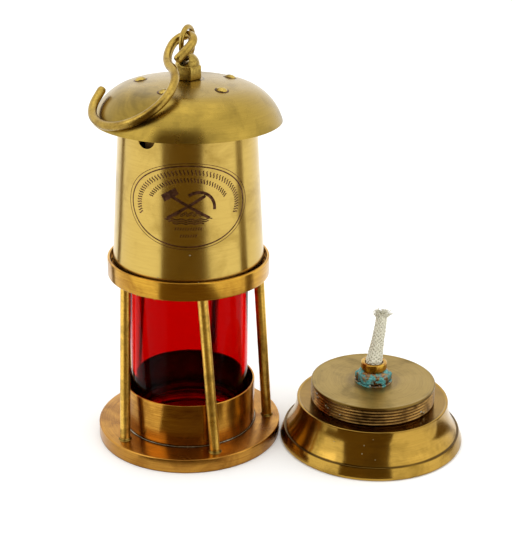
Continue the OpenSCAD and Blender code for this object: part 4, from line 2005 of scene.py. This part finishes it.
@dataclass
class Burner:
    """Washer, hexagon, collar and wick.

    Attributes:
        finishes: The materials.
        plate_z: Height of the font's top plate.
        flats: Size of the hexagon across its flats.
        nut_z: Height of the hexagon's underside.
        nut_h: Height of the hexagon.
        collar_r: Radius of the collar.
        collar_h: Height of the collar.
        bore_r: Radius of the collar's bore.
        wick_r: Radius of the wick.
        wick_tip_r: Radius of the wick below its frayed end.
        wick_l: Length of wick above the collar.
        lean: Lean of the wick, in degrees.
    """

    finishes: Finishes
    plate_z: float = 26.0
    flats: float = 13.6
    nut_z: float = 26.55
    nut_h: float = 3.4
    collar_r: float = 5.4
    collar_h: float = 4.8
    bore_r: float = 3.55
    wick_r: float = 3.5
    wick_tip_r: float = 2.2
    wick_l: float = 23.5
    lean: float = 7.0

    def build(self) -> None:
        """Makes the burner and the wick."""
        self._washer()
        self._nut()
        self._holder()
        self._wick()

    def _washer(self) -> None:
        """The soldered ring under the hexagon, uneven and green."""
        outer = self.flats / 2 + 1.1
        profile = rounded([
            (5.6, self.plate_z - 0.04, 0), (outer - 0.1, self.plate_z - 0.04, 0.1),
            (outer - 0.1, self.plate_z + 0.5, 0.35), (5.6, self.plate_z + 0.5, 0),
        ], 5)
        bm = lathe(profile, FONT_X, 120)
        for vert in bm.verts:
            if vert.co.z > self.plate_z + 0.05:
                vert.co.z -= 0.22 * max(0.0, noise.noise(vert.co / 1.6))
        place(
            finished(bm, "burner_washer_soldered", self.finishes.verdigris), Body.FONT,
            Slot.VERDIGRIS, "burner_washer",
        )
        bm = bmesh.new()
        for angle, size in ((-102, 0.55), (-70, 0.32), (-140, 0.3), (30, 0.35)):
            turn = math.radians(angle)
            reach = outer - 0.75
            bmesh.ops.create_uvsphere(
                bm, u_segments=16, v_segments=10, radius=size,
                matrix=Matrix.Translation((
                    FONT_X + reach * math.cos(turn), reach * math.sin(turn), self.plate_z + 0.45
                )),
            )
        place(
            finished(bm, "burner_solder_beads", self.finishes.solder), Body.BURNER, Slot.BRASS
        )

    def _nut(self) -> None:
        """The hexagon, its corners worn round, and the shank below the plate."""
        across = self.flats / math.sqrt(3)
        bm = bmesh.new()
        bmesh.ops.create_cone(
            bm, cap_ends=True, segments=6, radius1=across, radius2=across, depth=self.nut_h,
            matrix=Matrix.Translation((FONT_X, 0, self.nut_z + self.nut_h / 2))
            @ Matrix.Rotation(math.radians(30), 4, "Z"),
        )
        bmesh.ops.bevel(
            bm, geom=bm.edges[:], offset=0.75, offset_type="OFFSET", affect="EDGES", segments=4,
            profile=0.5, material=-1,
        )
        bmesh.ops.subdivide_edges(bm, edges=bm.edges[:], cuts=2, use_grid_fill=True)
        for vert in bm.verts:
            vert.co += noise.noise_vector(vert.co / 1.4) * 0.07
            vert.co.z = min(max(vert.co.z, self.nut_z), self.nut_z + self.nut_h)
        nut = finished(bm, "burner_hexagon", self.finishes.verdigris)
        shank = lathe(
            rounded([
                (4.2, self.nut_z - 5, 0.1), (5.5, self.nut_z - 5, 0.2),
                (5.5, self.nut_z + 0.5, 0), (4.2, self.nut_z + 0.5, 0),
            ]),
            FONT_X, 72,
        )
        place(nut, Body.BURNER, Slot.VERDIGRIS, "burner_nut")
        crown = self.nut_z + self.nut_h
        mound = lathe(
            rounded([
                (4.6, crown - 0.3, 0), (6.35, crown - 0.3, 0.2), (6.2, crown + 0.25, 0.5),
                (5.75, crown + 0.75, 0.6), (5.2, crown + 1.1, 0.3), (4.6, crown + 1.1, 0),
            ]),
            FONT_X, 120,
        )
        roughened(mound, 0.14, 1.5)
        place(finished(mound, "burner_crust", self.finishes.verdigris), Body.BURNER,
              Slot.VERDIGRIS)
        place(
            finished(shank, "burner_shank", self.finishes.thread), Body.BURNER, Slot.VERDIGRIS
        )

    def _holder(self) -> None:
        """The collar round the wick, its lip rolled, on its tube."""
        foot = self.nut_z + self.nut_h
        top = foot + self.collar_h
        low = foot - 12.4
        profile = rounded([
            (self.bore_r, low, 0), (4.2, low, 0.2), (4.2, foot - 0.02, 0),
            (self.collar_r - 0.5, foot - 0.02, 0.1), (self.collar_r - 0.5, foot + 1.2, 0.3),
            (self.collar_r, foot + 1.9, 0.4), (self.collar_r, top, 0.6),
            (self.bore_r + 0.35, top, 0.5), (self.bore_r, top - 0.7, 0.2),
        ])
        bm = roughened(lathe(profile, FONT_X, 96), 0.05, 2.4)
        place(
            finished(bm, "wick_collar_turned", self.finishes.tube), Body.BURNER, Slot.BRASS,
            "wick_holder",
        )

    def _wick(self) -> None:
        """The braided wick: a soft core, yarns that cross over it, and a frayed end."""
        collar_top = self.nut_z + self.nut_h + self.collar_h
        rng = random.Random(7)
        lean = math.tan(math.radians(self.lean))

        def centre(z: float) -> Vector:
            """Gives the middle of the wick at a height."""
            up = max(0.0, z - collar_top)
            sway = 0.35 * math.sin(up / 6.5)
            return Vector((FONT_X + up * lean * 0.9 + sway * 0.6, 0.2 * math.sin(up / 5), z))

        def girth(z: float) -> float:
            """Gives the wick's radius at a height."""
            up = max(0.0, min(1.0, (z - collar_top) / self.wick_l))
            if z < collar_top + 0.4:
                return self.wick_r - 0.05
            return self.wick_tip_r + (self.wick_r + 0.35 - self.wick_tip_r) * (1 - up) ** 2.2

        bottom, top = 3.0, collar_top + self.wick_l - 3.2
        bm = tube(
            [centre(bottom + (top - bottom) * i / 60) for i in range(61)],
            lambda t: girth(bottom + (top - bottom) * t) * 0.8, 20,
        )
        yarns = 9
        start = collar_top - 3.0
        steps = 110
        for way in (1, -1):
            for k in range(yarns):
                path = []
                for i in range(steps + 1):
                    z = start + (top + 1.6 - start) * i / steps
                    angle = way * (z - start) * 0.42 + 2 * math.pi * k / yarns
                    over = 0.16 * math.cos(way * angle * yarns / 2 + (0 if way > 0 else math.pi))
                    reach = girth(z) * 0.84 + over
                    path.append(
                        centre(z) + Vector((math.cos(angle), math.sin(angle), 0)) * reach
                    )
                tube(path, lambda t: 0.44 - 0.1 * t, 8, bm)
        for _ in range(150):
            angle = rng.uniform(0, 2 * math.pi)
            reach = girth(top) * math.sqrt(rng.random()) * 0.95
            point = centre(top - 1.0) + Vector((math.cos(angle), math.sin(angle), 0)) * reach
            out = Vector((math.cos(angle), math.sin(angle), 0)) * rng.uniform(0.0, 0.4)
            head = (Vector((0.12, 0, 1)) + out).normalized()
            path = [point]
            curl = Vector((rng.uniform(-1, 1), rng.uniform(-1, 1), rng.uniform(-0.6, 0.2)))
            for _ in range(9):
                head = (head + curl * 0.09).normalized()
                point = point + head * rng.uniform(0.28, 0.56)
                if point.z < collar_top + self.wick_l - 0.1:
                    path.append(point)
            if len(path) > 3:
                size = rng.uniform(0.09, 0.2)
                tube(path, lambda t, s=size: s * (1 - 0.5 * t), 6, bm)
        for angle, spread, length in ((190, 0.4, 4.2), (5, 0.62, 5.0), (-20, 0.5, 4.4)):
            turn = math.radians(angle)
            out = Vector((math.cos(turn), math.sin(turn), 0))
            start_at = centre(top - 1.5) + out * girth(top) * 0.7
            for strand in range(5):
                shift = Vector([rng.uniform(-0.25, 0.25) for _ in range(3)])
                path = [
                    start_at + shift
                    + out * spread * (length * t / 8) * (0.5 + 0.06 * t)
                    + Vector((0, 0, 0.42 * t * (1 - 0.02 * t)))
                    for t in range(9)
                ]
                tube(path, lambda t: 0.2 * (1 - 0.6 * t), 6, bm)
        made = finished(bm, "wick_braided", self.finishes.cotton, 60)
        place(made, Body.WICK, Slot.COTTON, "wick")


@dataclass
class HiddenPieces:
    """Materials for the CAD nodes that stay as they are, inside the lamp.

    Attributes:
        finishes: The materials.
        nodes: The CAD objects by node name.
    """

    finishes: Finishes
    nodes: dict[str, bpy.types.Object]

    def build(self) -> None:
        """Gives each node its material."""
        looks = {
            "glass_ledge": self.finishes.sooty, "lower_glass_washer": self.finishes.fibre,
            "upper_glass_washer": self.finishes.fibre, "middle_ring_shelf": self.finishes.sooty,
            "gauze_cap": self.finishes.gauze, "gauze_ring": self.finishes.sooty,
            "hood_bracket": self.finishes.sooty, "finial_stud": self.finishes.sooty,
            "stud_nut": self.finishes.sooty, "font_bottom_plate": self.finishes.font,
        }
        for name, material in looks.items():
            node = self.nodes[name]
            node.data.materials.clear()
            node.data.materials.append(material)
            LOG.info("%s: CAD mesh kept", name)


# --------------------------------------------------------------------------------------
# Stage
# --------------------------------------------------------------------------------------


@dataclass
class Stage:
    """Pale floor, soft light and the camera.

    Attributes:
        eye: Where the camera stands, in millimetres.
        heading: How far the camera turns to its left of +Y, in degrees.
        fall: How far it looks down, in degrees.
        roll: How far it leans, in degrees.
        lens: Focal length for a 36 mm sensor along the picture's long side, in millimetres.
        shift: How far the picture is cut off centre, as a share of its long side.
    """

    eye: tuple[float, float, float] = (61.3, -485.2, 264.8)
    heading: float = 1.36
    fall: float = 19.91
    roll: float = 1.59
    lens: float = 85.9
    shift: tuple[float, float] = (-0.1043, -0.0617)

    def build(self) -> None:
        """Makes the stage."""
        self._camera()
        self._floor()
        self._cards()
        self._lights()

    def _camera(self) -> None:
        """The camera, a little above the lamp and in front of it."""
        data = bpy.data.cameras.new("camera")
        data.lens = self.lens
        data.sensor_width = 36
        data.shift_x, data.shift_y = self.shift
        data.clip_start, data.clip_end = 0.01, 20
        camera = bpy.data.objects.new("camera", data)
        camera.matrix_world = (
            Matrix.Translation(Vector(self.eye) * MM)
            @ Matrix.Rotation(math.radians(self.heading), 4, "Z")
            @ Matrix.Rotation(math.radians(90 - self.fall), 4, "X")
            @ Matrix.Rotation(math.radians(self.roll), 4, "Z")
        )
        bpy.context.scene.collection.objects.link(camera)
        bpy.context.scene.camera = camera

    def _sheet(self, name: str, points: Sequence[tuple[float, float, float]],
               material: bpy.types.Material) -> bpy.types.Object:
        """Adds one flat stage surface.

        Args:
            name: Name of the object.
            points: Its corners, in millimetres.
            material: Its material.

        Returns:
            The object.
        """
        bm = bmesh.new()
        bm.faces.new([bm.verts.new(p) for p in points])
        made = finished(bm, name, material)
        return made

    def _floor(self) -> None:
        """A wide pale floor, which ends far outside the picture."""
        wide = 4000
        corners = [(-wide, -wide, 0), (wide, -wide, 0), (wide, wide, 0), (-wide, wide, 0)]
        self._sheet("floor", corners, Plain("pale floor", "f7f7f5").build())

    def _cards(self) -> None:
        """Dark cards that only reflections see, for the dark bands.

        Upright surfaces mirror the fans that lie on the table. Those that tilt up mirror the
        low horizon, so a wall stands behind the camera for them.
        """
        dark = Plain("dark card", "67532a").build()
        far, lift, tall = 1000, 0.6, 1300
        steps = 8
        for name, x, left, right, near in (
            ("lamp_card", 0, -33, 30, 46), ("font_card", FONT_X, -40, 24, 46),
            ("left_card", 0, -124, -113, 60), ("right_card", 0, 88, 102, 135),
        ):
            fan = []
            for reach, order in ((near, 1), (far, -1)):
                for k in range(steps + 1)[::order]:
                    turn = math.radians(left + (right - left) * k / steps)
                    fan.append((x + reach * math.sin(turn), -reach * math.cos(turn), lift))
            self._unseen(self._sheet(name, fan, dark))
        wall = [(-700, -far, lift), (550, -far, lift), (550, -far, tall), (-700, -far, tall)]
        self._unseen(self._sheet("wall_card", wall, dark))

    @staticmethod
    def _unseen(card: bpy.types.Object) -> None:
        """Leaves a card visible in reflections alone.

        Args:
            card: The card.
        """
        card.visible_camera = False
        card.visible_diffuse = False
        card.visible_shadow = False
        card.visible_transmission = False

    def _lights(self) -> None:
        """White surroundings and three soft boxes."""
        world = bpy.data.worlds.new("studio")
        world.use_nodes = True
        world.node_tree.nodes["Background"].inputs["Color"].default_value = (1, 1, 1, 1)
        world.node_tree.nodes["Background"].inputs["Strength"].default_value = 1.35
        bpy.context.scene.world = world
        for name, at, aim, size, power in (
            ("key", (-420, -260, 420), (0, 0, 80), 300, 0.3),
            ("fill", (520, -200, 340), (40, 0, 60), 300, 0.1),
            ("top", (20, 60, 700), (20, 0, 0), 420, 0.3),
        ):
            data = bpy.data.lights.new(name, "AREA")
            data.size = size * MM
            data.energy = power
            light = bpy.data.objects.new(name, data)
            light.location = Vector(at) * MM
            light.rotation_euler = (
                (Vector(aim) - Vector(at)).to_track_quat("-Z", "Y").to_euler()
            )
            bpy.context.scene.collection.objects.link(light)


def main() -> None:
    """Builds the whole scene."""
    logging.basicConfig(level=logging.INFO, format="%(message)s")
    noise.seed_set(NOISE_SEED)
    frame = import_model()
    bpy.context.scene.view_settings.view_transform = "Standard"
    finishes = Finishes()
    Base(finishes).build()
    Bonnet(finishes).build()
    Hanger(finishes).build()
    Font(finishes).build()
    Burner(finishes).build()
    HiddenPieces(finishes, frame["nodes"]).build()
    Stage().build()


if __name__ == "__main__":
    main()
